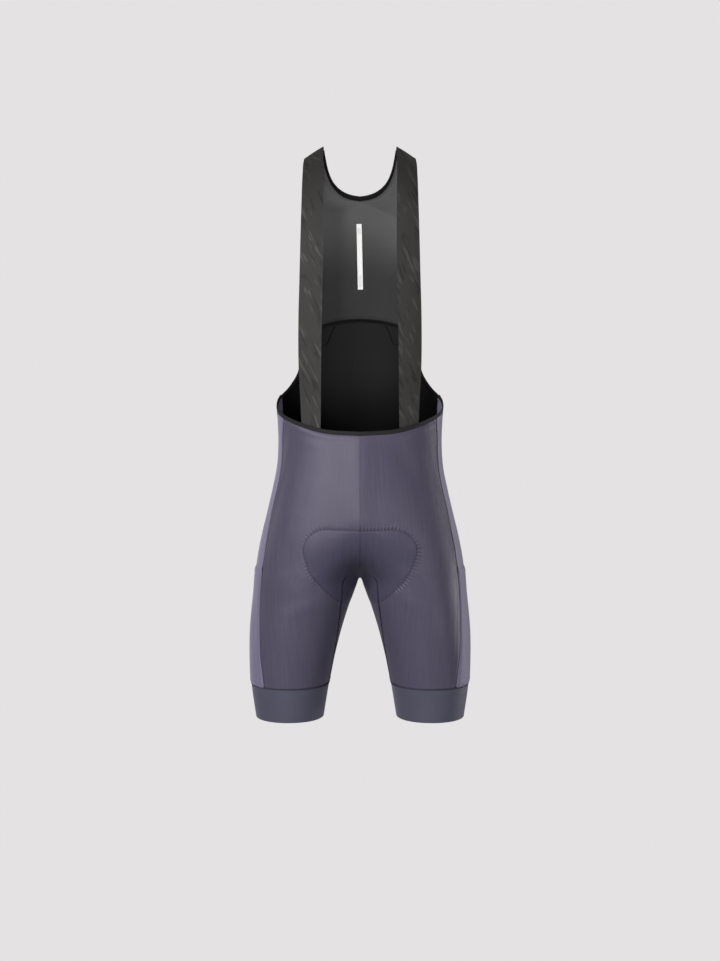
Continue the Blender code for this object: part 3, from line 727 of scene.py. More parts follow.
PAD_FRONT, PAD_BACK = 311 * MM, 332 * MM
PAD_FRONT_FLAT, PAD_BACK_FLAT = 0.55, 0.5
rim = points_of(PAD_OUTLINE)
front_end = at_side(np.array([0, PAD_FRONT_FLAT * rim[0, 0]]), np.full(2, PAD_FRONT), -1)
back_end = at_side(np.array([PAD_BACK_FLAT * rim[-1, 0], 0]), np.full(2, PAD_BACK), 1)
half_rim = np.concatenate([front_end, rim, back_end])
half_rim = onto_figure(through(half_rim, np.linspace(0, 1, 330)))
PAD_RIM = np.concatenate([half_rim, half_rim[-2:0:-1] * MIRROR])
print("the pad's stitching is", round(float(lengths(PAD_RIM)[-1]), 3), "m round")

# %% [markdown]
# Each crease is a row of a table: where it starts and ends, by the turn round one half of the
# figure and the height, and how deep and wide it is. Positive ones stand up. They are uneven on
# purpose, and left and right differ.

# %% Creases
LEFT_CREASES = rows_of(
    "turn_a height_a turn_b height_b deep wide", 1,
    (22, 448, 40, 352, -1.6, 17),
    (52, 452, 60, 330, 1.1, 9),
    (66, 300, 40, 232, 0.8, 15),
    (34, 246, 4, 214, -0.5, 12),
    (-38, 236, 30, 268, -0.7, 15),
    (-30, 214, 14, 176, 0.6, 11),
    (8, 176, 36, 96, 0.9, 17),
    (62, 212, 44, 104, -0.9, 15),
    (128, 300, 158, 250, 1.6, 16),
    (150, 262, 196, 240, -2.4, 12),
    (118, 200, 142, 150, -1.3, 14),
    (172, 236, 212, 196, -1.6, 11),
    (205, 214, 236, 150, 1.2, 13),
    (150, 128, 196, 112, -1.1, 9),
    (190, 176, 232, 120, 0.9, 12),
    (140, 90, 176, 76, 0.8, 8),
)
RIGHT_CREASES = rows_of(
    "turn_a height_a turn_b height_b deep wide", 1,
    (30, 440, 34, 336, -1.1, 20),
    (56, 450, 62, 318, 1.3, 8),
    (60, 316, 32, 238, 0.7, 16),
    (28, 252, 2, 220, -0.4, 12),
    (-36, 232, 26, 262, -0.6, 16),
    (-26, 208, 18, 168, 0.6, 11),
    (14, 188, 28, 84, 0.9, 18),
    (60, 204, 46, 92, -0.8, 14),
    (134, 292, 152, 258, 1.2, 18),
    (146, 268, 200, 236, -2.2, 13),
    (124, 190, 150, 138, -1.5, 12),
    (176, 228, 208, 200, -1.3, 12),
    (200, 220, 240, 142, 1.4, 12),
    (160, 136, 204, 108, -0.9, 10),
    (186, 168, 226, 116, 1.1, 11),
    (134, 96, 170, 82, 0.7, 9),
)


def creases(points):
    """The sum over the creases of deep times a bell of the distance, each fading to its ends."""
    total = np.zeros(points.shape[:-1])
    share = np.linspace(0, 1, 25)
    for side, table in ((1, LEFT_CREASES), (-1, RIGHT_CREASES)):
        for a, za, b, zb, deep, wide in zip(*table.values()):
            path = on_section(a + (b - a) * share, (za + (zb - za) * share) * MM)
            path[:, 0] *= side
            away, where, _ = near(points, path)
            fade = np.sin(np.pi * np.clip(where / lengths(path)[-1], 0, 1)) ** 0.8
            total += deep * MM * bell(away, wide * MM) * fade
    return total


print("creases:", len(LEFT_CREASES["deep"]), "on the left,", len(RIGHT_CREASES["deep"]), "on the right")

# %% [markdown]
# The ridge, the hollow between the thighs and the pad's swelling are wider forms, and each is one
# short formula of the place. Their sum with the creases is the relief of every piece.

# %% The pad and the whole relief
RIDGE_HIGH, RIDGE_ROUND, RIDGE_CREASE = 8.5 * MM, 16 * MM, 0.06
RIDGE_WIDE = {"left": 50 * MM, "right": 24 * MM}
RIDGE_FRONT, RIDGE_FOOT = (60 * MM, 95 * MM), (262 * MM, 330 * MM)
HOLLOW_DEEP, HOLLOW_WIDE = 7.0 * MM, 45 * MM
HOLLOW_FOOT, HOLLOW_HEAD = (188 * MM, 224 * MM), (226 * MM, 286 * MM)
HOLLOW_FRONT = (0, 60 * MM)
STITCH_SINK, STITCH_WIDE = 0.5 * MM, 2.1 * MM
GUSSET_EDGE = (52 * MM, 68 * MM)
PAD_SWELL, PAD_SWELL_WIDE = 0.6 * MM, 15 * MM


def centre_ridge(points):
    """The front's raised centre above the crotch. It is exp(-d / wide), and d is mostly the rounded
    distance sqrt(x^2 + round^2) - round, with a little of |x| for the seam's own edge."""
    x, y, z = np.moveaxis(points, -1, 0)
    away = (1 - RIDGE_CREASE) * (np.hypot(x, RIDGE_ROUND) - RIDGE_ROUND) + RIDGE_CREASE * np.abs(x)
    wide = np.where(x > 0, RIDGE_WIDE["left"], RIDGE_WIDE["right"])
    return RIDGE_HIGH * np.exp(-away / wide) * ramp(-y, *RIDGE_FRONT) * ramp(z, *RIDGE_FOOT)


def hollow(points):
    """How far the cloth sinks between the thighs, just above the fork on the front."""
    x, y, z = np.moveaxis(points, -1, 0)
    level = ramp(z, *HOLLOW_FOOT) * (1 - ramp(z, *HOLLOW_HEAD)) * ramp(-y, *HOLLOW_FRONT)
    return HOLLOW_DEEP * level * bell(x, HOLLOW_WIDE)


def pad_map(points):
    """How far along the pad's stitching each point's nearest place is, and how far the point lies
    inside it; outside it the second number is negative."""
    away, where, side = near(points, PAD_RIM, closed=True)
    return np.stack([where, away * np.where(side > 0, 1, -1)], axis=-1)


def off_gusset(y):
    """1 where the pad's stitching shows, and 0 where it crosses the gusset and is caught inside."""
    return ramp(np.abs(y - CROTCH[0]), *GUSSET_EDGE)


def pad_relief(points):
    """The pad swells the cloth, and the line that is stitched to it sinks."""
    inside = pad_map(points)[..., 1]
    sunk = STITCH_SINK * bell(inside, STITCH_WIDE) * off_gusset(points[..., 1])
    return PAD_SWELL * ramp(inside, 0, PAD_SWELL_WIDE) - sunk


def relief(points):
    """How far the cloth stands off the smooth figure at these points. Pieces that lie above the pad
    leave it out."""
    height = creases(points) + centre_ridge(points) - hollow(points)
    low = points[..., 2].min() < PAD_BACK + 20 * MM
    return height + pad_relief(points) if low else height


GROOVE_DEEP, GROOVE_WIDE = 0.75 * MM, 1.3 * MM
WELT_HIGH, WELT_AT, WELT_WIDE = 0.5 * MM, 5.5 * MM, 2.6 * MM
CENTRE_EASE = (1 * MM, 12 * MM)


def groove(away):
    """A dip at a seam and a low welt beside it, by the distance from the seam."""
    return WELT_HIGH * bell(away - WELT_AT, WELT_WIDE) - GROOVE_DEEP * bell(away, GROOVE_WIDE)


def from_edges(grid, sides):
    """Distances along the cloth from each of these sides of a grid."""
    across = np.linalg.norm(np.diff(grid, axis=1), axis=-1).cumsum(axis=1)
    across = np.concatenate([0 * across[:, :1], across], axis=1)
    up = np.linalg.norm(np.diff(grid, axis=0), axis=-1).cumsum(axis=0)
    up = np.concatenate([0 * up[:1], up], axis=0)
    ways = {"left": across, "right": across[:, -1:] - across, "bottom": up, "top": up[-1:] - up}
    return [ways[side] for side in sides.split()]


def dressed(grid, sides="left right bottom top"):
    """A grid on the figure with its relief, and grooves along these sides. The centre seams are
    sewn flat, so an edge on the centre plane gets no groove."""
    height = relief(grid)
    for side, away in zip(sides.split(), from_edges(grid, sides)):
        edge = {"left": grid[:, :1, 0], "right": grid[:, -1:, 0]}.get(side, np.full((1, 1), 1.0))
        height = height + groove(away) * ramp(np.abs(edge), *CENTRE_EASE)
    return grid + unit(slope(grid)) * height[..., None]


print("a seam's groove is", round(GROOVE_DEEP / MM, 2), "mm deep")

# %% [markdown]
# ## From a grid to sewn cloth
#
# A modifier could thicken each sheet, but a wall made here keeps full control of its edges. The
# outer and the inner surface are the grid moved half a wall each way along its normals, and a strip
# of faces joins them all round. Each piece also gets a UV map in metres, so that a knit pattern has
# the same pitch everywhere.

# %% The mesh of a piece of cloth
MIRROR_SHIFT = 0.37
FINISHES, made = {}, {}


def quads(index):
    """The four corners of every face of a grid of point numbers."""
    low, high = index[:-1], index[1:]
    return np.stack([low[:, :-1], low[:, 1:], high[:, 1:], high[:, :-1]], axis=-1).reshape(-1, 4)


def shell(grid, wall, ring=False):
    """Points and faces for a sheet with this wall, and for a ring the number of the point that
    takes each point's place where its last column meets its first."""
    rows, columns = grid.shape[:2]
    out = normals(grid)
    if ring:
        padded = np.concatenate([grid[:, -2:-1], grid, grid[:, 1:2]], axis=1)
        out = normals(padded)[:, 1:-1]
    half = np.broadcast_to(np.asarray(wall) / 2, (rows, columns))[..., None]
    points = np.stack([grid + out * half, grid - out * half]).reshape(-1, 3)
    index = np.arange(rows * columns).reshape(rows, columns)
    bottom, right, top, left = index[0], index[:, -1], index[-1, ::-1], index[::-1, 0]
    borders = [bottom, top] if ring else [np.concatenate([bottom[:-1], right[:-1], top[:-1], left])]
    faces = [quads(index), quads(index)[:, ::-1] + rows * columns]
    for border in borders:
        a, b = border[:-1], border[1:]
        faces.append(np.stack([b, a, a + rows * columns, b + rows * columns], axis=-1))
    met = index.copy()
    met[:, -1] = index[:, 0]
    number = np.concatenate([met.ravel(), met.ravel() + rows * columns]) if ring else None
    return points, np.concatenate(faces), number


def metres_map(grid):
    """UV in metres: u is the length along each row from its middle, v the length up the columns."""
    across = from_edges(grid, "left")[0]
    up = from_edges(grid, "bottom")[0]
    middle = across[:, across.shape[1] // 2][:, None]
    return np.stack([across - middle, np.broadcast_to(up.mean(axis=1)[:, None], up.shape)], axis=-1)


def put_mesh(name, points, faces, uv, finish, sharp=50, number=None):
    """An object of these points, faces and UVs, lowered to the frame's origin. With number, each
    point gives way to the one that it names, which joins two edges."""
    maps = {"cloth": uv[faces]}
    if finish == "knit":
        maps["pad"] = pad_map(onto_figure(points, rounds=3))[faces]
    if number is not None:
        used, place = np.unique(number[faces], return_inverse=True)
        points, faces = points[used], place.reshape(faces.shape)
    mesh = bpy.data.meshes.new(name)
    mesh.from_pydata((points - [0, 0, STRAP_TOP]).tolist(), [], faces.tolist())
    for map_name, corners in maps.items():
        layer = mesh.uv_layers.new(name=map_name)
        layer.uv.foreach_set("vector", corners.astype(np.float32).ravel())
    mesh.materials.append(FINISHES[finish].material)
    mesh.shade_smooth()
    mesh.set_sharp_from_angle(angle=np.radians(sharp))
    piece = add(name, mesh)
    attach(piece, "root")
    made[name] = piece
    return piece


print("the cloth's wall is", round(WALL / MM, 1), "mm thick")

# %% [markdown]
# Sewing a grid gives it a wall and a UV map in metres, makes its object with its finish, and hides
# the frame's node that it stands for. The tool takes no side under 10 mm.

# %% Sewing a piece


def sew(node, grid, finish, wall=WALL, held="stretched", hangs_from=(), ring=False, shift=0.0):
    """The piece of cloth for this node."""
    points, faces, number = shell(grid, wall, ring)
    uv = metres_map(grid).reshape(-1, 2) + [shift, 0]
    piece = put_mesh(node + "_cloth", points, faces, np.concatenate([uv, uv]), finish, number=number)
    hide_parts(node)
    across, up = from_edges(grid, "left bottom")


def dress_sides(sides, side):
    """The same sides on the mirror image, whose columns run the other way."""
    if side == "left":
        return sides
    swap = {"left": "right", "right": "left"}
    return " ".join(swap.get(name, name) for name in sides.split())


def sew_pair(node, grid, finish, dress="left right bottom top", lift=0.0, bare=False, **settings):
    """The wearer's left piece and its mirror image, each with its own creases."""
    for side in ("left", "right"):
        half = grid if side == "left" else grid[:, ::-1] * MIRROR
        cloth = half if bare else dressed(half, dress_sides(dress, side))
        cloth = shoulder(cloth + normals(cloth) * lift)
        shift = 0.0 if side == "left" else MIRROR_SHIFT
        sew(f"{node}_{side}", cloth, finish, shift=shift, **settings)


# %% [markdown]
# ## Writing a finish
#
# A node tree is arithmetic on values that change over the surface, so it is written as arithmetic.
# Value wraps one socket and turns +, -, * and / into Math nodes. Finish.node makes any other node:
# its settings first, then what goes into its sockets, by place or by name.

# %% Values


class Value:
    """A number, vector or colour that changes over the surface."""

    def __init__(self, finish, socket):
        self.finish, self.socket = finish, socket

    def math(self, operation, *others):
        """A Math node on this value, and on others after it."""
        return self.finish.node("Math", {"operation": operation}, self, *others)

    def turned(self, operation, other):
        """A Math node on another number and then this value."""
        return self.finish.node("Math", {"operation": operation}, other, self)

    def __add__(self, other):
        return self.math("ADD", other)

    def __sub__(self, other):
        return self.math("SUBTRACT", other)

    def __rsub__(self, other):
        return self.turned("SUBTRACT", other)

    def __mul__(self, other):
        return self.math("MULTIPLY", other)

    def __truediv__(self, other):
        return self.math("DIVIDE", other)

    __radd__, __rmul__ = __add__, __mul__


print("a Value turns +, -, * and / into Math nodes")

# %% Finishes
WHITE = (1.0, 1.0, 1.0)
SHEEN_ROUGHNESS = 0.45


class Finish:
    """One cloth's material, with its cloth map in millimetres: u across, v up."""

    def __init__(self, name, roughness, sheen=0.0, specular=0.3, nap=WHITE, gleam=WHITE):
        self.material = bpy.data.materials.new(name)
        self.material.use_nodes = True
        self.tree = self.material.node_tree
        self.shader = self.tree.nodes["Principled BSDF"]
        self.set(Roughness=roughness, Specular_IOR_Level=specular)
        self.set(Sheen_Weight=sheen, Sheen_Roughness=SHEEN_ROUGHNESS, Sheen_Tint=nap)
        self.set(Specular_Tint=gleam)
        self.millimetres = self.map("cloth")
        self.u, self.v, _ = self.parts(self.millimetres)
        FINISHES[name] = self

    def map(self, name):
        """A UV map in millimetres."""
        return self.scaled(self.node("UVMap", {"uv_map": name}), 1 / MM)

    def put(self, socket, value):
        """Links a Value to this socket, or sets the socket to a number or a colour."""
        if isinstance(value, Value):
            self.tree.links.new(value.socket, socket)
        elif socket.type == "RGBA":
            socket.default_value = (*value, 1)
        else:
            socket.default_value = value

    def node(self, kind, settings, *values, out=0, **named):
        """A new node with these settings and inputs, as the Value of one of its outputs."""
        made_node = self.tree.nodes.new("ShaderNode" + kind)
        for key, value in settings.items():
            setattr(made_node, key, value)
        for place, value in enumerate(values):
            self.put(made_node.inputs[place], value)
        for name, value in named.items():
            self.put(made_node.inputs[name.replace("_", " ")], value)
        return Value(self, made_node.outputs[out])

    def set(self, **named):
        """Fills the shader's own sockets."""
        for name, value in named.items():
            self.put(self.shader.inputs[name.replace("_", " ")], value)

    def parts(self, vector):
        """The three numbers of a vector."""
        split = self.node("SeparateXYZ", {}, vector)
        return [Value(self, out) for out in split.socket.node.outputs]

    def place(self, x, y=0.0, z=0.0):
        """The vector of three numbers."""
        return self.node("CombineXYZ", {}, x, y, z)

    def noise(self, at, scale, detail=2.0, roughness=0.5):
        """Cloudy noise from 0 to 1."""
        return self.node("TexNoise", {}, Vector=at, Scale=scale, Detail=detail, Roughness=roughness)

    def ramp(self, value, low, high, to_low=0.0, to_high=1.0):
        """An S from to_low to to_high while the value goes from low to high."""
        settings = {"interpolation_type": "SMOOTHSTEP"}
        return self.node("MapRange", settings, value, low, high, to_low, to_high)

    def ribs(self, along, pitch):
        """A cosine wave from 0 to 1 with this pitch in millimetres."""
        return (along * (2 * np.pi / pitch)).math("COSINE") * 0.5 + 0.5

    def scaled(self, vector, by):
        """A vector or a colour times a number or a Value."""
        return self.node("VectorMath", {"operation": "SCALE"}, vector, Scale=by)

    def mix(self, share, a, b):
        """Colour a where share is 0 and b where it is 1."""
        mixed = self.node("Mix", {"data_type": "RGBA"}, out=2)
        inputs = mixed.socket.node.inputs
        for place, value in ((0, share), (6, a), (7, b)):
            self.put(inputs[place], value)
        return mixed

    def bump(self, height, distance):
        """Feeds a height from 0 to 1, worth this many metres, into the shader's normal."""
        self.set(Normal=self.node("Bump", {}, Height=height, Distance=distance, Strength=1.0))


print("a Finish writes one material")

# %% [markdown]
# ## The knits
#
# The shorts are warp knit: fine wales run down the cloth, with faint uneven streaks where the yarn
# took the dye differently, and slow clouds of tone. Nylon with elastane has a satin gleam, so the
# finish is fairly smooth, with a little sheen for the light that grazes it. The side panels and the
# leg pockets are a paler power knit, ribbed on the pockets, and the leg bands a bluer one. The
# lower back is black. Colours are linear, and lengths in a finish are in millimetres. Painted shade
# darkens the shorts' knit in the pad's pleats, over the pad and in the fork, and the lower back
# towards its foot and sides. A stretch of painted light and shade is four numbers: two places on
# the cloth map and the tone at each, with an S between.

# %% Puckers and shade
KNIT_COLOUR = (0.063, 0.057, 0.089)
# painted shade: the cloth over the pad is darker and bluer
PAD_SHADE_COLOUR = (0.052, 0.048, 0.080)
SIDE_COLOUR = (0.128, 0.117, 0.182)
BAND_COLOUR = (0.058, 0.0585, 0.087)
BLACK_KNIT_COLOUR = (0.0100, 0.0100, 0.0103)
PUCKER_PITCH, PUCKER_REACH = 5.4, 11.0
PULL = (0.42, 0.66, 0.15, 0.55)
TIGHT_STRETCHES = (22.0, 46.0), (140.0, 55.0)
# the bell of painted shade in the fork between the thighs, in mm
FORK_SHADE = {"height": -662.0, "wide": 35.0, "high": 22.0}


def puckers(finish):
    """Pleats across the pad's stitching: a cosine along it that fades away from it, strongest in
    the tight stretches. Also the share that lies inside the pad."""
    along, inside, _ = finish.parts(finish.map("pad"))
    pull = finish.noise(finish.place(along * 0.011, 0, 5.0), 1.0, 1.0)
    pull = finish.ramp(pull, *PULL)
    for at, reach in TIGHT_STRETCHES:
        pull = pull + finish.ramp((along - at).math("ABSOLUTE"), reach, 0.6 * reach)
    pull = pull.math("MINIMUM", 1.0)
    reach = finish.ramp(inside, -PUCKER_REACH, -1.5) * finish.ramp(inside, 2.5, -0.5)
    return (finish.ribs(along, PUCKER_PITCH) - 0.6) * pull * reach, finish.ramp(inside, -0.6, 0.9)


def fork_bell(finish):
    """1 in the deep of the fork, where the cloth gets painted shade for the shade of the thighs, and 0
    far from it: a bell over x and the height."""
    at = finish.node("TexCoord", {}, out=3)
    x, _, z = finish.parts(finish.scaled(at, 1 / MM))
    across, up = x / FORK_SHADE["wide"], (z - FORK_SHADE["height"]) / FORK_SHADE["high"]
    return (0 - across * across - up * up).math("EXPONENT")


print("the pad's stitches are", PUCKER_PITCH, "mm apart")

# %% Knitted cloth
KNIT_NAP, KNIT_GLEAM = (0.80, 0.77, 0.95), (1.0, 0.92, 1.0)
CLOUD = 0.07
# painted shade in the pleats along the pad's stitching, and the pleats' bump height
PLEAT_PAINTED_SHADE, PLEAT_HIGH = 0.26, 4.0
FORK_PAINTED_SHADE, FORK_MATT = 0.42, 0.4
# painted shade on the black lower back: darker towards its foot and its sides
BACK_SHADE_RISE, BACK_SHADE_SIDES = (0, 130, 0.35, 1.3), (20, 110, 1.0, 0.4)


def knit(slot, colour, roughness, sheen, wale=0.9, streak=0.10, rib=None, specular=0.28):
    """A knit of this colour, toned by streaks along the wales, by clouds and by its own loops."""
    finish = Finish(slot, roughness, sheen, specular, KNIT_NAP, KNIT_GLEAM)
    u, v = finish.u, finish.v
    streaks = finish.noise(finish.place(u * 0.28, v * 0.012), 1.0, 3.0, 0.6)
    clouds = finish.noise(finish.millimetres, 0.022, 2.0)
    loops = finish.ribs(u, wale) * (finish.ribs(v, 1.3 * wale) * 0.5 + 0.5)
    tone = (streaks - 0.5) * (2 * streak) + (clouds - 0.5) * (2 * CLOUD) + loops * 0.06 + 0.97
    height = loops * 0.25 + streaks * 0.55
    if slot == "black_knit":
        # painted shade: darker towards the foot and the sides of the lower back
        tone = tone * finish.ramp(v, *BACK_SHADE_RISE) * finish.ramp(u.math("ABSOLUTE"), *BACK_SHADE_SIDES)
    if rib:
        raised = finish.ribs(v, rib)
        tone = tone * (raised * 0.08 + 0.96)
        height = height + raised * 1.1
    matt = (streaks - 0.5) * 0.12 + roughness
    if slot == "knit":
        pleats, inside = puckers(finish)
        fork = fork_bell(finish)
        matt = matt + fork * FORK_MATT
        # painted shade: darker in the pleats and in the fork
        tone = tone * (1 - pleats * PLEAT_PAINTED_SHADE) * (1 - fork * FORK_PAINTED_SHADE)
        height = height + pleats * PLEAT_HIGH
        # painted shade over the pad
        colour = finish.mix(inside, colour, PAD_SHADE_COLOUR)
    finish.set(Base_Color=finish.scaled(colour, tone))
    finish.set(Roughness=matt)
    finish.bump(height, 0.2 * MM)


knit("knit", KNIT_COLOUR, 0.38, 0.045, streak=0.20)
knit("side_knit", SIDE_COLOUR, 0.48, 0.40, wale=1.1)
knit("grip", BAND_COLOUR, 0.46, 0.20, wale=1.4, streak=0.05)
knit("black_knit", BLACK_KNIT_COLOUR, 0.7, 0.0, wale=1.2, specular=0.07)
knit("pocket_knit", SIDE_COLOUR, 0.48, 0.40, wale=1.1, rib=3.2)
print("knits:", ", ".join(FINISHES))

# %% [markdown]
# ## Mesh, tapes, webbing, padding and satin
#
# The yoke is an open mesh: rows of tiny holes that let a little of the pale surround through. The
# tapes are folded elastic with fine ribs across, and threads are written in the same way. The
# straps carry a tonal pattern of slanting brush strokes, woven a shade lighter or darker than the
# ground.

# %% Mesh and tapes
MESH_COLOUR, MESH_PITCH, MESH_CLEAR = (0.037, 0.037, 0.0373), 1.5, 0.32
MESH_LIGHT_RISE, MESH_SHADE_SIDES = (60, 190, 0.7, 2.6), (12, 42, 1.12, 0.72)
TAPES = {
    # colour, roughness, and pitch of the ribs
    "grey_tape": ((0.0135, 0.0130, 0.0145), 0.6, 1.1),
    "black_tape": ((0.0056, 0.0056, 0.0058), 0.55, 1.1),
    "dark_thread": ((0.011, 0.010, 0.015), 0.6, 0.6),
    "pad_thread": ((0.038, 0.034, 0.054), 0.6, 0.6),
    "black_thread": ((0.004, 0.004, 0.0042), 0.6, 0.6),
}


def make_mesh_finish():
    """Slanting rows of holes, a product of two waves, with painted light towards the shoulders and
    painted shade on one side.
    """
    finish = Finish("mesh", 0.7, 0.0, specular=0.08)
    u, v = finish.u, finish.v
    holes = finish.ribs(u, MESH_PITCH) * finish.ribs(v + u * 0.5, MESH_PITCH)
    open_share = finish.ramp(holes, 0.35, 0.75)
    clouds = finish.noise(finish.millimetres, 0.018, 2.0)
    # painted light and shade: the mesh's tone rises towards the shoulders and falls on one side
    stretched = finish.ramp(v, *MESH_LIGHT_RISE)
    tone = (clouds * 0.3 + 0.85 - open_share * 0.3) * stretched * finish.ramp(u, *MESH_SHADE_SIDES)
    finish.set(Base_Color=finish.scaled(MESH_COLOUR, tone))
    finish.set(Alpha=1 - open_share * MESH_CLEAR)
    finish.bump(1 - holes, 0.25 * MM)


def make_tape(slot, colour, roughness, pitch):
    """Ribbed elastic or thread."""
    finish = Finish(slot, roughness, 0.03, specular=0.14)
    ribs = finish.ribs(finish.u, pitch)
    clouds = finish.noise(finish.millimetres, 0.05, 2.0)
    finish.set(Base_Color=finish.scaled(colour, ribs * 0.25 + clouds * 0.3 + 0.7))
    finish.bump(ribs, 0.15 * MM)


make_mesh_finish()
for slot, settings in TAPES.items():
    make_tape(slot, *settings)
print("mesh and tapes:", ", ".join(["mesh", *TAPES]))

# %% Strap webbing, padding and satin
WEBBING_COLOUR, WEBBING_ROUGHNESS = (0.0295, 0.0281, 0.0267), 0.62
# painted shade along the straps: from and to in mm up the strap, and the tone at each
WEBBING_SHADE = (330, 470, 1.08, 0.80)
PADDING_COLOUR = (0.0115, 0.0115, 0.0145)
SATIN_COLOUR, PATCH_COLOUR = (0.84, 0.84, 0.83), (0.22, 0.22, 0.23)


def make_webbing():
    """Twill with slanting strokes, where stretched noise is high or low, inside larger blots."""
    finish = Finish("webbing", WEBBING_ROUGHNESS, 0.035, specular=0.14)
    u, v = finish.u, finish.v
    twill = finish.ribs(u + v * 0.6, 1.6)
    bent = finish.noise(finish.millimetres, 0.03, 2.0) * 26
    slanted = finish.place(u * 0.16 + v * 0.075 + bent * 0.05, v * 0.018 - u * 0.01, 3.0)
    strokes = finish.noise(slanted, 1.0, 2.5, 0.55)
    blots = finish.noise(finish.place(u * 0.03, v * 0.014, 7.0), 1.0, 1.0)
    where = finish.ramp(blots, 0.40, 0.52)
    lighter = finish.ramp(strokes, 0.56, 0.62) * where
    darker = finish.ramp(strokes, 0.44, 0.38) * where
    tone = lighter * 0.60 - darker * 0.36 + twill * 0.10 + 0.95
    # painted shade: the straps darker towards the shoulders
    tone = tone * finish.ramp(v, *WEBBING_SHADE)
    finish.set(Base_Color=finish.scaled(WEBBING_COLOUR, tone))
    finish.set(Roughness=WEBBING_ROUGHNESS - lighter * 0.14)
    finish.bump(twill * 0.5 + lighter * 0.8, 0.12 * MM)


def make_padding():
    """Brushed knit: a fine uneven nap with slow clouds of tone."""
    finish = Finish("padding", 0.85, 0.17, specular=0.06)
    nap = finish.noise(finish.millimetres, 0.9, 4.0, 0.65)
    clouds = finish.noise(finish.millimetres, 0.03, 2.0)
    finish.set(Base_Color=finish.scaled(PADDING_COLOUR, nap * 0.5 + clouds * 0.4 + 0.55))
    finish.bump(nap, 0.35 * MM)


def make_satin():
    """White satin with two faint grey patches near its ends and a bare middle."""
    finish = Finish("satin", 0.38, 0.0, specular=0.35)
    u, v = finish.u, finish.v
    weave = finish.ribs(v, 0.7) * 0.6 + finish.ribs(u, 0.9) * 0.4
    top = finish.ramp(v, 90, 91) * finish.ramp(v, 101, 100)
    foot = finish.ramp(v, 3.5, 4.5) * finish.ramp(v, 24, 23)
    lines = finish.ramp(finish.noise(finish.place(u * 0.5, v * 1.2), 1.0, 2.0), 0.47, 0.55)
    sides = finish.ramp(u.math("ABSOLUTE"), 3.1, 2.7)
    grey = (top * 0.35 + foot * 0.30) * sides * (lines * 0.7 + 0.3)
    finish.set(Base_Color=finish.mix(grey, SATIN_COLOUR, PATCH_COLOUR))
    finish.bump(weave, 0.08 * MM)


make_webbing()
make_padding()
make_satin()
print("finishes:", len(FINISHES))

# %% [markdown]
# ## Fronts, sides and backs
#
# Each half of the shorts is a front, a paler side panel and a back. A piece is the grid between
# two of its seams, drawn in by half a seam gap so that it never touches its neighbour. The edges
# along the leg bands get no groove, because the band's own stitching marks that seam.

# %% Fronts, sides and backs
CENTRE_GAP = (0.16 * MM, 0.45 * MM)
FORK_EASE = (270 * MM, 300 * MM)
SEWN_SIDES = "left right top"


def off_centre(grid):
    """The grid kept clear of the centre plane and so of its mirror image, more so in the fork."""
    by = CENTRE_GAP[1] + (CENTRE_GAP[0] - CENTRE_GAP[1]) * ramp(grid[..., 2], *FORK_EASE)
    grid[..., 0] = np.maximum(grid[..., 0], by)
    return grid


def panel(left, right, t, top):
    """The grid between two seams at the column shares t. Up the leg each row goes straight from
    seam to seam; from the crotch's level row on, the rows bend evenly to the height top(t, turn)."""
    turn = between(turn_of(left)[:, None], turn_of(right)[:, None], t)[..., 0]
    z = between(left[:, 2:], right[:, 2:], t)[..., 0]
    rise = (z[LEG_ROWS:, :1] - z[LEG_ROWS, 0]) / (z[-1, 0] - z[LEG_ROWS, 0])
    z[LEG_ROWS:] = GUSSET_TOP + rise * (top(t, turn[-1]) - GUSSET_TOP)
    grid = on_section(turn, z)
    grid[:, 0], grid[:, -1] = left, right
    return grid


def waist_panel(left, right, t):
    """A panel that ends under the waist binding."""
    return panel(left, right, t, lambda t, turn: waist_below_binding(turn))


def back_panel(t):
    """The back's panel, which ends at the bib, with its columns from the side to the centre."""
    side_line = SEAMS["side_back"][: LEG_ROWS + TRUNK_ROWS + 1]
    centre_line = np.concatenate([SEAMS["gusset_back"], SEAMS["centre_back"]])
    return panel(side_line, centre_line, t, lambda t, turn: bib_seam(t))


centre_line = np.concatenate([SEAMS["gusset_front"], SEAMS["centre_front"]])
front = off_centre(inset(waist_panel(centre_line, SEAMS["side_front"], FRONT_COLUMNS)))
side_panel = waist_panel(SEAMS["side_front"], SEAMS["side_back"], SIDE_COLUMNS)
back = off_centre(inset(back_panel(BACK_COLUMNS)))
sew_pair("front", front, "knit", dress=SEWN_SIDES, hangs_from=["waist_binding"])
sew_pair("side", inset(side_panel), "side_knit", dress=SEWN_SIDES, hangs_from=["waist_binding"])
sew_pair("back", back, "knit", dress=SEWN_SIDES, hangs_from=["lower_back"])

# %% [markdown]
# ## Leg pockets, gusset and leg bands
#
# A pocket is a second, ribbed skin on the side panel, from the leg band up to its hem. The
# gusset runs from one leg band over the crotch to the other. The leg bands are raw-cut rings.

# %% Leg pockets
POCKET_INSET, POCKET_LIFT = 0.8 * MM, WALL + SEAM_GAP

pocket = inset(side_panel[: LEG_ROWS + 1], by=POCKET_INSET)
sew_pair("leg_pocket", pocket, "pocket_knit", lift=POCKET_LIFT, hangs_from=["side_left"])

# %% Gusset and leg bands
BAND_COLUMNS = 220
BAND_ROWS = steps((0, 4, 3), (4, 48, 11), (48, 50, 1), (50, 54.85, 5)) * MM


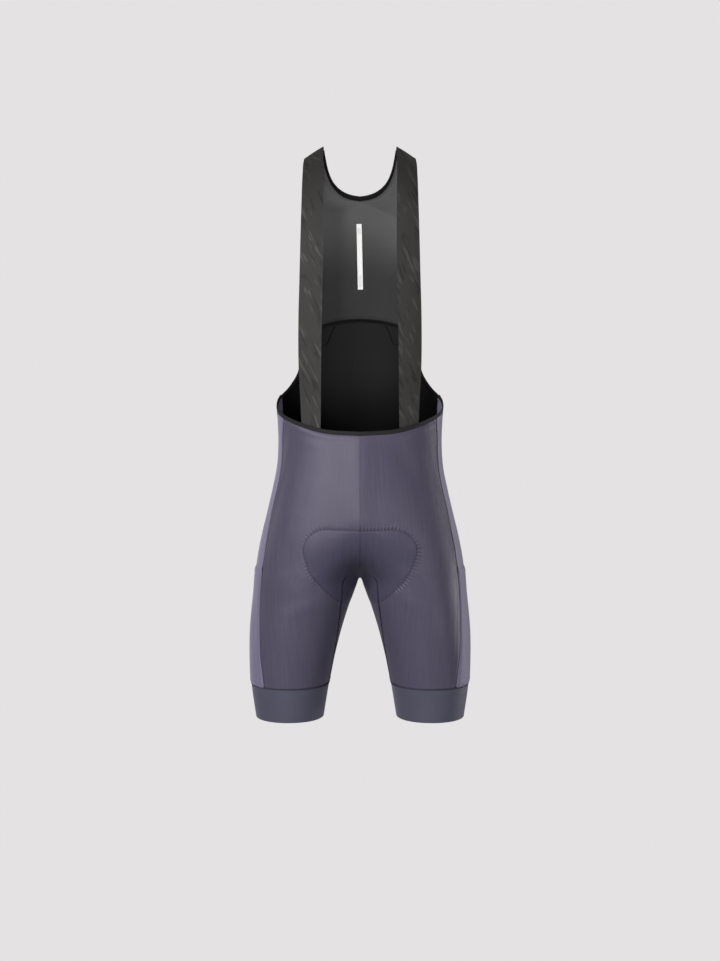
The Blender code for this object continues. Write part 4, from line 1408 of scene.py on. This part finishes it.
def gusset_grid():
    """Each row is a parabola from the back seam past the inner leg to the front seam."""
    front_seam, back_seam = SEAMS["gusset_front"], SEAMS["gusset_back"]
    crown = onto_figure(np.array([[0, *CROTCH]]))[0, 2]
    rise = front_seam[:, 2] - GRIPPER_TOP
    z = GRIPPER_TOP + (crown - GRIPPER_TOP) * rise / rise[-1]
    cy = section(z)[2]
    x = crossing(section(z)[0], lambda r: -outside(r, cy, z))
    middle = np.stack([x, cy, z], axis=-1)
    middle[-1, 0] = 0
    t = GUSSET_COLUMNS[:, None]
    grid = (
        back_seam[:, None] * (1 - t) * (1 - 2 * t)
        + middle[:, None] * 4 * t * (1 - t)
        + front_seam[:, None] * t * (2 * t - 1)
    )
    grid = onto_figure(grid)
    grid[-1, :, 0] = 0
    grid[:, 0], grid[:, -1] = back_seam, front_seam
    grid = inset(grid, "left right bottom")
    grid[-1, :, 0] = 0
    return np.concatenate([grid, grid[-2::-1] * MIRROR])


sew("gusset", dressed(gusset_grid()), "knit", hangs_from=["front_left", "back_left"])

turn = np.linspace(-90, 270, BAND_COLUMNS + 1)
band = on_section(turn, BAND_ROWS[:, None])
sew_pair("gripper", band, "grip", dress="", ring=True, hangs_from=["front_left"])

# %% [markdown]
# ## The bib
#
# The lower back is a plain black knit with a wide pocket on its outside. An arched band joins it to
# the sheer yoke, which carries the neck and reaches up to the straps.

# %% Lower back and its pocket
BACK_POCKET_INSET, BACK_POCKET_LIFT = 3 * MM, WALL + 0.5 * MM
POCKET_START = 9


def lower_back_half():
    """The half grid from the bib seam up to the arch."""
    bib_side = SEAMS["side_back"][LEG_ROWS + TRUNK_ROWS :]
    side_line = np.concatenate([bib_side, SEAMS["armhole"][1 : ARMHOLE_ROWS + 1]])
    middle = centre_seam(1, np.full(1, side_line[-1, 2]))
    turn = between(turn_of(side_line[-1:])[:, None], turn_of(middle)[:, None], BACK_WIDE)[0, :, 0]
    top = arch(on_section(turn, side_line[-1, 2])[:, 0]) - ARCH_BAND_WIDTH / 2
    share = (side_line[:, 2:] - side_line[0, 2]) / (side_line[-1, 2] - side_line[0, 2])
    bottom = bib_seam(BACK_WIDE)
    z = bottom + share * (top - bottom)
    centre = centre_seam(1, z[:, -1])
    turn = between(turn_of(side_line)[:, None], turn_of(centre)[:, None], BACK_WIDE)[..., 0]
    grid = on_section(turn, z)
    grid[:, 0] = side_line
    return centred(grid, "right")


def back_pocket_half(grid):
    """The rows above the pocket's foot, squeezed down to its opening edge."""
    pocket = grid[EDGE_ROWS + POCKET_START :].copy()
    rise = pocket[:, :, 2] - pocket[0, :, 2]
    top = read(BACK_POCKET_TOP, "height", grid[-1, :, 0], by="x") - pocket[0, :, 2]
    for i, heights in enumerate((pocket[0, :, 2] + rise * top / rise[-1]).T):
        pocket[:, i] = np.stack([np.interp(heights, grid[:, i, 2], c) for c in grid[:, i].T], axis=1)
    return centred(inset(pocket, "left", by=BACK_POCKET_INSET), "right")


def whole_inset(half, sides):
    """Both halves, drawn in along these sides, of a piece whose right side is the centre."""
    return whole(centred(inset(half, sides), "right"), "right")


lower = lower_back_half()
lower_back = dressed(whole_inset(lower, "left bottom top"))
sew("lower_back", lower_back, "black_knit", hangs_from=["arch_band"])
pocket = dressed(whole(back_pocket_half(lower), "right"), "left right bottom")
sew("back_pocket", pocket + normals(pocket) * BACK_POCKET_LIFT, "black_knit", hangs_from=["lower_back"])

# %% Arched band
ARCH_BAND_WALL = 1.6 * MM
BAND_LINES = np.linspace(0, 1, 4)

across = lower[-1, :, 0]
band_foot, band_top = arch(across) - ARCH_BAND_WIDTH / 2, arch(across) + ARCH_BAND_WIDTH / 2
band = at_side(across, np.linspace(band_foot, band_top, len(BAND_LINES)), 1)
ends = SEAMS["armhole"][ARMHOLE_ROWS : ARMHOLE_ROWS + 2]
band[:, 0] = between(ends[:1], ends[1:], BAND_LINES)[0]
band = dressed(whole_inset(band, "left bottom top"), "left right")
sew("arch_band", band, "black_tape", wall=ARCH_BAND_WALL, hangs_from=["yoke"])

# %% [markdown]
# The yoke is one piece with the neck cut out of it. It is built as a half and its mirror image,
# which share their points down the centre below the neck, so no seam shows there.

# %% Yoke


def yoke_half(x_across, foot):
    """Rows go straight from the armhole to the centre line and the neck. Its foot follows the arched
    band, and the bend fades with the square of what is left of the rise."""
    left, right = SEAMS["armhole"][ARMHOLE_ROWS + 1 :], SEAMS["yoke_centre"]
    rise = (left[:, 2:] - left[0, 2]) / (left[-1, 2] - left[0, 2])
    share = 1 - x_across / x_across[0]
    x = left[:, :1] * (1 - share) + right[:, :1] * share
    z = left[:, 2:] * (1 - share) + right[:, 2:] * share
    z += (1 - rise) ** 2 * (foot - z[0])
    half = inset(at_side(x, z, 1))
    half[right[:, 0] < MM / 100, -1, 0] = 0
    return half


def open_shell(grid, wall, joined):
    """A shell like any other, but with no edge strip on the right column up to row joined."""
    rows, columns = grid.shape[:2]
    points, faces, _ = shell(grid, wall)
    sheet_faces, bottom_faces = 2 * (rows - 1) * (columns - 1), columns - 1
    start = sheet_faces + bottom_faces
    keep = np.ones(len(faces), bool)
    keep[start : start + joined] = False
    centre = np.arange(rows * columns).reshape(rows, columns)[: joined + 1, -1]
    centre = np.concatenate([centre, centre + rows * columns])
    points[centre, 0] = 0
    return points, faces[keep], centre


def sew_yoke(half, joined):
    """Two mirrored halves that share their points on the centre line below the neck."""
    uv = metres_map(half)
    uv[..., 0] -= uv[:, -1:, 0]
    uv = np.concatenate([uv.reshape(-1, 2)] * 2)
    points, faces, centre = open_shell(half, WALL, joined)
    count = len(points)
    number = np.arange(2 * count)
    number[centre + count] = centre
    both_halves = np.concatenate([points, points * MIRROR])
    faces = np.concatenate([faces, faces[:, ::-1] + count])
    uv = np.concatenate([uv, uv * [-1, 1]])
    piece = put_mesh("yoke_cloth", both_halves, faces, uv, "mesh", number=number)
    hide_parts("yoke")
    across, up = from_edges(half, "left bottom")


sew_yoke(shoulder(dressed(yoke_half(across, band_top))), CENTRE_ROWS)

# %% [markdown]
# ## Bindings
#
# A binding is a narrow elastic folded over a raw edge. It is one strip of cloth like the others,
# but its rows climb the outside, turn over the free edge and come down the inside.

# %% Folded bindings
TAPE_WALL = 0.75 * MM
NECK_TIPS = (57.7, 15, 904.5), (56.9, 14, 905)
FLANK = np.array([[0, 0, 0.7], [0.12, 0, 0.95], [0.35, 0, 1.15], [0.65, 0, 1.15], [1, -1.1, 1.0]])
FOLD_TURNS = np.radians([[25], [50], [70], [90]])
FOLD = np.hstack([np.ones_like(FOLD_TURNS), np.sin(FOLD_TURNS) - 1, np.cos(FOLD_TURNS)])


def bound(name, low, high, finish):
    """A tape folded over the edge called high. A profile row is (share of the width, how much
    further on, how far out), the last two in half thicknesses of the fold."""
    profile = np.concatenate([FLANK, FOLD])
    profile = np.concatenate([profile, profile[-2::-1] * [1, 1, -1]])[:, :, None, None]
    out = unit(normals(np.stack([low, high])).mean(axis=0))
    radius, across = (BINDING_WALL - TAPE_WALL) / 2, high - low
    edge = unit(across) * radius
    grid = low + across * profile[:, 0] + edge * profile[:, 1] + out * radius * profile[:, 2]
    sew(name, grid - edge * 0.5, finish, wall=TAPE_WALL, held="folded")


def waist_binding_lines():
    """The waist's edge and the line under it, all round the front from side to side."""
    share = np.linspace(0, 1, 170)
    rows = []
    for rise in (0, WAIST_BINDING_WIDTH):
        middle = centre_seam(-1, SEAMS["centre_front"][-1:, 2] + rise)
        turn = turn_of(middle)[0] * (1 - share) + turn_of(SEAMS["side_back"][-1]) * share
        rows.append(on_section(turn, waist_below_binding(turn) + rise))
    half = centred(inset(np.stack(rows), "right bottom"), "left")
    return dressed(whole(half, "left"), "left right")


waist_line = waist_binding_lines()
bound("waist_binding", waist_line[0], waist_line[1], "grey_tape")

neck = np.stack([SEAMS["neck"], SEAMS["neck_edge"]])
neck = np.concatenate([neck, np.array(NECK_TIPS)[:, None] * MM], axis=1)[:, ::-1]
neck = shoulder(whole_inset(neck, "left bottom"))
bound("neck_binding", neck[0], neck[1], "black_tape")

armhole = shoulder(inset(np.stack([SEAMS["armhole_edge"], SEAMS["armhole"]], axis=1)))
for side, flip in (("left", 1), ("right", -1)):
    low, high = armhole[:, 1] * [flip, 1, 1], armhole[:, 0] * [flip, 1, 1]
    lines = (low, high) if side == "right" else (low[::-1], high[::-1])
    bound("armhole_binding_" + side, *lines, "black_tape")

# %% [markdown]
# ## Straps and label
#
# Each strap starts tucked inside the waist binding, follows the chest up and over the shoulder and
# ends on the yoke. Its two edges are woven a little thicker. The white label is sewn inside the
# yoke and hangs slightly askew.

# %% Straps
STRAP_TUCK, STRAP_GAP = 11 * MM, 0.6 * MM
STRAP_EASE = (492 * MM, 550 * MM)
STRAP_ROWS, STRAP_COLUMNS = 300, steps((0, 0.1, 5), (0.1, 0.9, 14), (0.9, 1, 5))
SELVEDGE_HIGH, SELVEDGE_WIDE = 0.22 * MM, 0.045


def strap_grid():
    """Rows run from inside the front of the waist binding up over the shoulder to the yoke."""
    heights = STRAP_EDGES["height"][1:-1]
    tuck = BINDING_WALL / 2 + STRAP_GAP + STRAP_WALL / 2
    tuck = tuck * (1 - ramp(heights, *STRAP_EASE))[:, None]
    columns = []
    for s in STRAP_COLUMNS:
        x = STRAP_EDGES["inner"] * (1 - s) + STRAP_EDGES["outer"] * s
        chest = at_side(x[1:-1], heights, -1)
        foot = float(edge_height(turn_of(chest[0]))) - STRAP_TUCK
        inward = -unit(slope(chest)) * tuck
        start = at_side(x[0], foot, -1) + inward[0]
        behind = at_side(x[-1], SHOULDER_SEAM + np.array([4 * MM, 0]), 1)
        rows = np.concatenate([[start], chest + inward, [[x[-1], 0, STRAP_TOP]], behind])
        columns.append(through(rows, np.linspace(0, 1, STRAP_ROWS + 1)))
    return inset(np.stack(columns, axis=1), "top")


selvedge = bell(np.minimum(STRAP_COLUMNS, 1 - STRAP_COLUMNS), SELVEDGE_WIDE)
thick = STRAP_WALL + 2 * SELVEDGE_HIGH * selvedge
strap = {"bare": True, "wall": thick, "held": "hung", "hangs_from": ["waist_binding"]}
sew_pair("strap", strap_grid(), "webbing", **strap)

# %% Label
LABEL_SIZE, LABEL_TOP = (8.5 * MM, 107 * MM), 796.7 * MM
LABEL_X, LABEL_GAP, LABEL_TILT = -1.5 * MM, 0.9 * MM, 0.021

wide, long = LABEL_SIZE
down = np.linspace(1, 0, 60)[:, None] * long
x = np.linspace(0.5, -0.5, 9)[None] * wide + LABEL_X + down * LABEL_TILT
label = at_side(x, LABEL_TOP - down, 1)
label -= normals(label) * (WALL / 2 + LABEL_GAP + LABEL_WALL / 2)
sew("label", label, "satin", wall=LABEL_WALL, held="hung", hangs_from=["yoke"])

# %% [markdown]
# ## The seat pad
#
# The pad is moulded foam under a brushed knit. Moulding fixes its shape, so it needs no simulation:
# it is the figure's own surface with a thickness that falls away to its rim, and with channels
# pressed along it so that it can fold.

# %% The pad's surface
PAD_GAP = 2.0 * MM
HIP_CENTRE = (8 * MM, 315 * MM)
HIP_FARTHEST = 0.2
PAD_SWEEP = (20, -200)
PAD_ROWS, PAD_COLUMNS = 150, 44


def pad_half():
    """Rows run from the pad's back end under the crotch to its front end."""
    turn = np.radians(np.linspace(*PAD_SWEEP, 500))
    heart = np.array([HIP_CENTRE])
    way = np.stack([np.cos(turn), np.sin(turn)], axis=1)
    farthest = np.full(turn.shape, HIP_FARTHEST)
    reach = crossing(farthest, lambda r: outside(0 * r, *(heart + way * r[:, None]).T))
    profile = np.column_stack([0 * reach, heart + way * reach[:, None]])
    low = np.argmin(profile[:, 2])
    first = np.argmax(profile[:, 2] < PAD_BACK)
    last = low + np.argmax(profile[low:, 2] > PAD_FRONT)
    share = np.linspace(0, 1, PAD_ROWS + 1)
    middle = at_shares(profile[first:last], share)
    edge = through(points_of(PAD_OUTLINE)[::-1], share)
    grid = onto_figure(between(middle, edge, np.linspace(0, 1, PAD_COLUMNS + 1)))
    grid = centred(grid, "left")
    behind = WALL / 2 + PAD_GAP + hollow(grid)
    return centred(grid - normals(grid) * behind[..., None], "left")


print("the pad's half has", PAD_ROWS, "rows and", PAD_COLUMNS, "columns of cells")

# %% The pad's thickness, and the pad
PAD_WALL, PAD_EDGE = 9.0 * MM, 0.25
BEVEL_ENDS, BEVEL_SIDES = 5, 2.2
CHANNEL_DEEP, CHANNEL_WIDE = 0.42, 0.035
CHANNELS = (
    # share across, and shares along where it starts, is deep, begins to fade and ends
    (0.28, 0.12, 0.20, 0.80, 0.90),
    (0.66, 0.10, 0.16, 0.41, 0.46),
)


def pad_thickness(along, across):
    """PAD_WALL, less towards the rim and along the channels; along and across are shares."""
    ends = np.minimum(1, BEVEL_ENDS * np.minimum(along, 1 - along))[:, None]
    bevel = ramp(np.minimum(1, BEVEL_SIDES * (1 - across)) * ends, -0.6, 1.0)
    pressed = np.zeros_like(bevel)
    for at, start, deep, fading, end in CHANNELS:
        length = ramp(along, start, deep) * ramp(-along, -end, -fading)
        pressed += bell(across - at, CHANNEL_WIDE) * length[:, None]
    bevelled = PAD_WALL * (PAD_EDGE + (1 - PAD_EDGE) * bevel)
    return bevelled * (1 - CHANNEL_DEEP * np.clip(pressed, 0, 1))


thick = pad_thickness(np.linspace(0, 1, PAD_ROWS + 1), np.linspace(0, 1, PAD_COLUMNS + 1))
pad, thick = whole(pad_half(), "left"), np.concatenate([thick[:, :0:-1], thick], axis=1)
pad = pad - normals(pad) * thick[..., None] / 2
points, faces, _ = shell(pad, thick)
uv = metres_map(pad).reshape(-1, 2)
piece = put_mesh("seat_pad_foam", points, faces, np.concatenate([uv, uv]), "padding", sharp=80)
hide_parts("seat_pad")
print("pad", len(faces), "faces")

# %% [markdown]
# ## Threads
#
# The seams are flatlocked: a thread zigzags over the join. The pad is sewn on with a wider zigzag,
# and a few lines are stitched straight, which is a zigzag of no width. A thread is a thin tube
# whose path swings from side to side of the seam line, so its shape is a row of points carried
# along the seam, and the threads of one kind of seam become one mesh.

# %% Thread paths and tubes
THREAD_SIDES = 5


def zigzag(seam, pitch, wide, radius):
    """A path that swings by wide across the seam, one swing each pitch, and how far it stands off
    the bare cloth: half its radius up from the seam's groove."""
    long = lengths(seam)[-1]
    count = 2 * max(int(round(long / pitch)), 2)
    share = np.arange(count + 1) / count
    line = at_shares(seam, share)
    out = unit(slope(line))
    aside = unit(np.cross(np.gradient(line, axis=0), out))
    swing = np.where(np.arange(count + 1) % 2 == 0, 0.5, -0.5) * wide
    return line + aside * swing[:, None], groove(np.abs(swing)) + radius * 0.5


def tube(path, out, radius):
    """A thin closed tube round the path; out is a direction away from the cloth."""
    run = unit(np.gradient(path, axis=0))
    aside = unit(np.cross(run, out))
    up = np.cross(aside, run)
    turn = np.linspace(0, 2 * np.pi, THREAD_SIDES + 1)[:-1, None]
    rings = path[:, None] + radius * (np.cos(turn) * aside[:, None] + np.sin(turn) * up[:, None])
    count = len(path)
    index = np.arange(count * THREAD_SIDES).reshape(count, THREAD_SIDES)
    faces = quads(np.concatenate([index, index[:, :1]], axis=1))
    return rings.reshape(-1, 3), faces[:, ::-1]


def threads(name, seams, finish, pitch=3.0, wide=2.2, radius=0.33, lift=0.0, inside=False):
    """One mesh of the threads along these seams, outside the cloth or inside it; pitch, wide and
    radius are in millimetres, and lift in metres."""
    points, faces, uvs = [], [], []
    count, radius = 0, radius * MM
    for seam in seams:
        bare, off = zigzag(seam, pitch * MM, wide * MM, radius)
        out = unit(slope(bare))
        height = relief(bare) + off + lift + WALL / 2
        if inside:
            height = relief(bare) - WALL / 2 - radius * 0.5
        path = bare + out * height[:, None]
        rings, sides = tube(path, -out if inside else out, radius)
        points.append(rings)
        faces.append(sides + count)
        along = np.repeat(lengths(path), THREAD_SIDES)
        uvs.append(np.stack([along, 0 * along], axis=-1))
        count += len(rings)
    points, faces, uvs = map(np.concatenate, (points, faces, uvs))
    put_mesh(name, points, faces, uvs, finish, sharp=180)
    print(name, len(faces), "faces")


def both(*seams):
    """Each seam and its mirror image."""
    return [s * flip for s in seams for flip in (np.ones(3), MIRROR)]


# %% Threads of the shorts
GUSSET_THREAD_TOP = GUSSET_TOP - 11 * MM
TACK_AT, TACK_LONG = GUSSET_TOP - 3 * MM, 16 * MM

leg_round = on_section(np.linspace(-90, 270, 260), GRIPPER_TOP)
bib_line = back_panel(np.linspace(0, 1, 80))[-1]
seams = both(SEAMS["gusset_back"], SEAMS["side_front"], SEAMS["side_back"], bib_line)
threads("seam_threads", seams + [SEAMS["centre_back"]], "dark_thread")
centre_lines = [SEAMS["centre_front"], SEAMS["centre_back"]]
threads("centre_threads", centre_lines, "dark_thread", wide=0, radius=0.3)
threads("hem_threads", both(leg_round), "pad_thread", pitch=2.4, wide=3.2, radius=0.5)
threads("hem_lines", both(leg_round), "pad_thread", wide=0, radius=0.5, lift=GROOVE_DEEP)
low = SEAMS["gusset_front"][:, 2] < GUSSET_THREAD_TOP
gusset_line = both(SEAMS["gusset_front"][low][::-1])
threads("gusset_threads", gusset_line, "dark_thread", pitch=2.2, wide=3.0, radius=0.45)
tack = np.abs(SEAMS["side_front"][:, 2] - TACK_AT) < TACK_LONG / 2
threads("bar_tacks", both(SEAMS["side_front"][tack]), "dark_thread", pitch=1.5, wide=3.2, radius=0.5)

# %% [markdown]
# The pad's stitching is one closed line. It is cut where it passes under the gusset, so the line is
# turned to start at a cut and then split at the others, and only the parts that show are kept.

# %% Threads of the pad
shows = off_gusset(PAD_RIM[:, 1]) > 0.5
cuts = np.flatnonzero(np.diff(shows.astype(int))) + 1
pad_lines = np.split(np.roll(PAD_RIM, -cuts[0], axis=0), cuts[1:] - cuts[0])
pad_lines = [line for line in pad_lines if off_gusset(line[len(line) // 2, 1]) > 0.5]
threads("pad_threads", pad_lines, "pad_thread", pitch=PUCKER_PITCH, wide=2.6, radius=0.42)

# %% [markdown]
# Two stout lines run along the arched band, and one along each opening of the back pocket. They lie
# inside the cloth, where they can be seen through the front.

# %% Threads of the bib
ARCH_LINES = (-0.3, 0.3)
ARCH_LINE_END = 90.5
POCKET_LINE, POCKET_LINE_DROP = (42, 84), 2 * MM

x = np.linspace(-ARCH_LINE_END, ARCH_LINE_END, 240) * MM
arch_lines = [at_side(x, arch(x) + up * ARCH_BAND_WIDTH, 1) for up in ARCH_LINES]
threads("arch_threads", arch_lines, "black_thread", wide=0, radius=1.5, inside=True)
x = np.linspace(*POCKET_LINE, 60) * MM
heights = read(BACK_POCKET_TOP, "height", x, by="x") - POCKET_LINE_DROP
pocket_top = both(at_side(x, heights, 1))
threads("back_pocket_threads", pocket_top, "black_thread", wide=0, radius=0.9, inside=True)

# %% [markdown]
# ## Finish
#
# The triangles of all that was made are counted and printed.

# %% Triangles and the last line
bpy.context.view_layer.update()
triangles = sum(len(face.vertices) - 2 for piece in made.values() for face in piece.data.polygons)
print("triangles:", triangles)
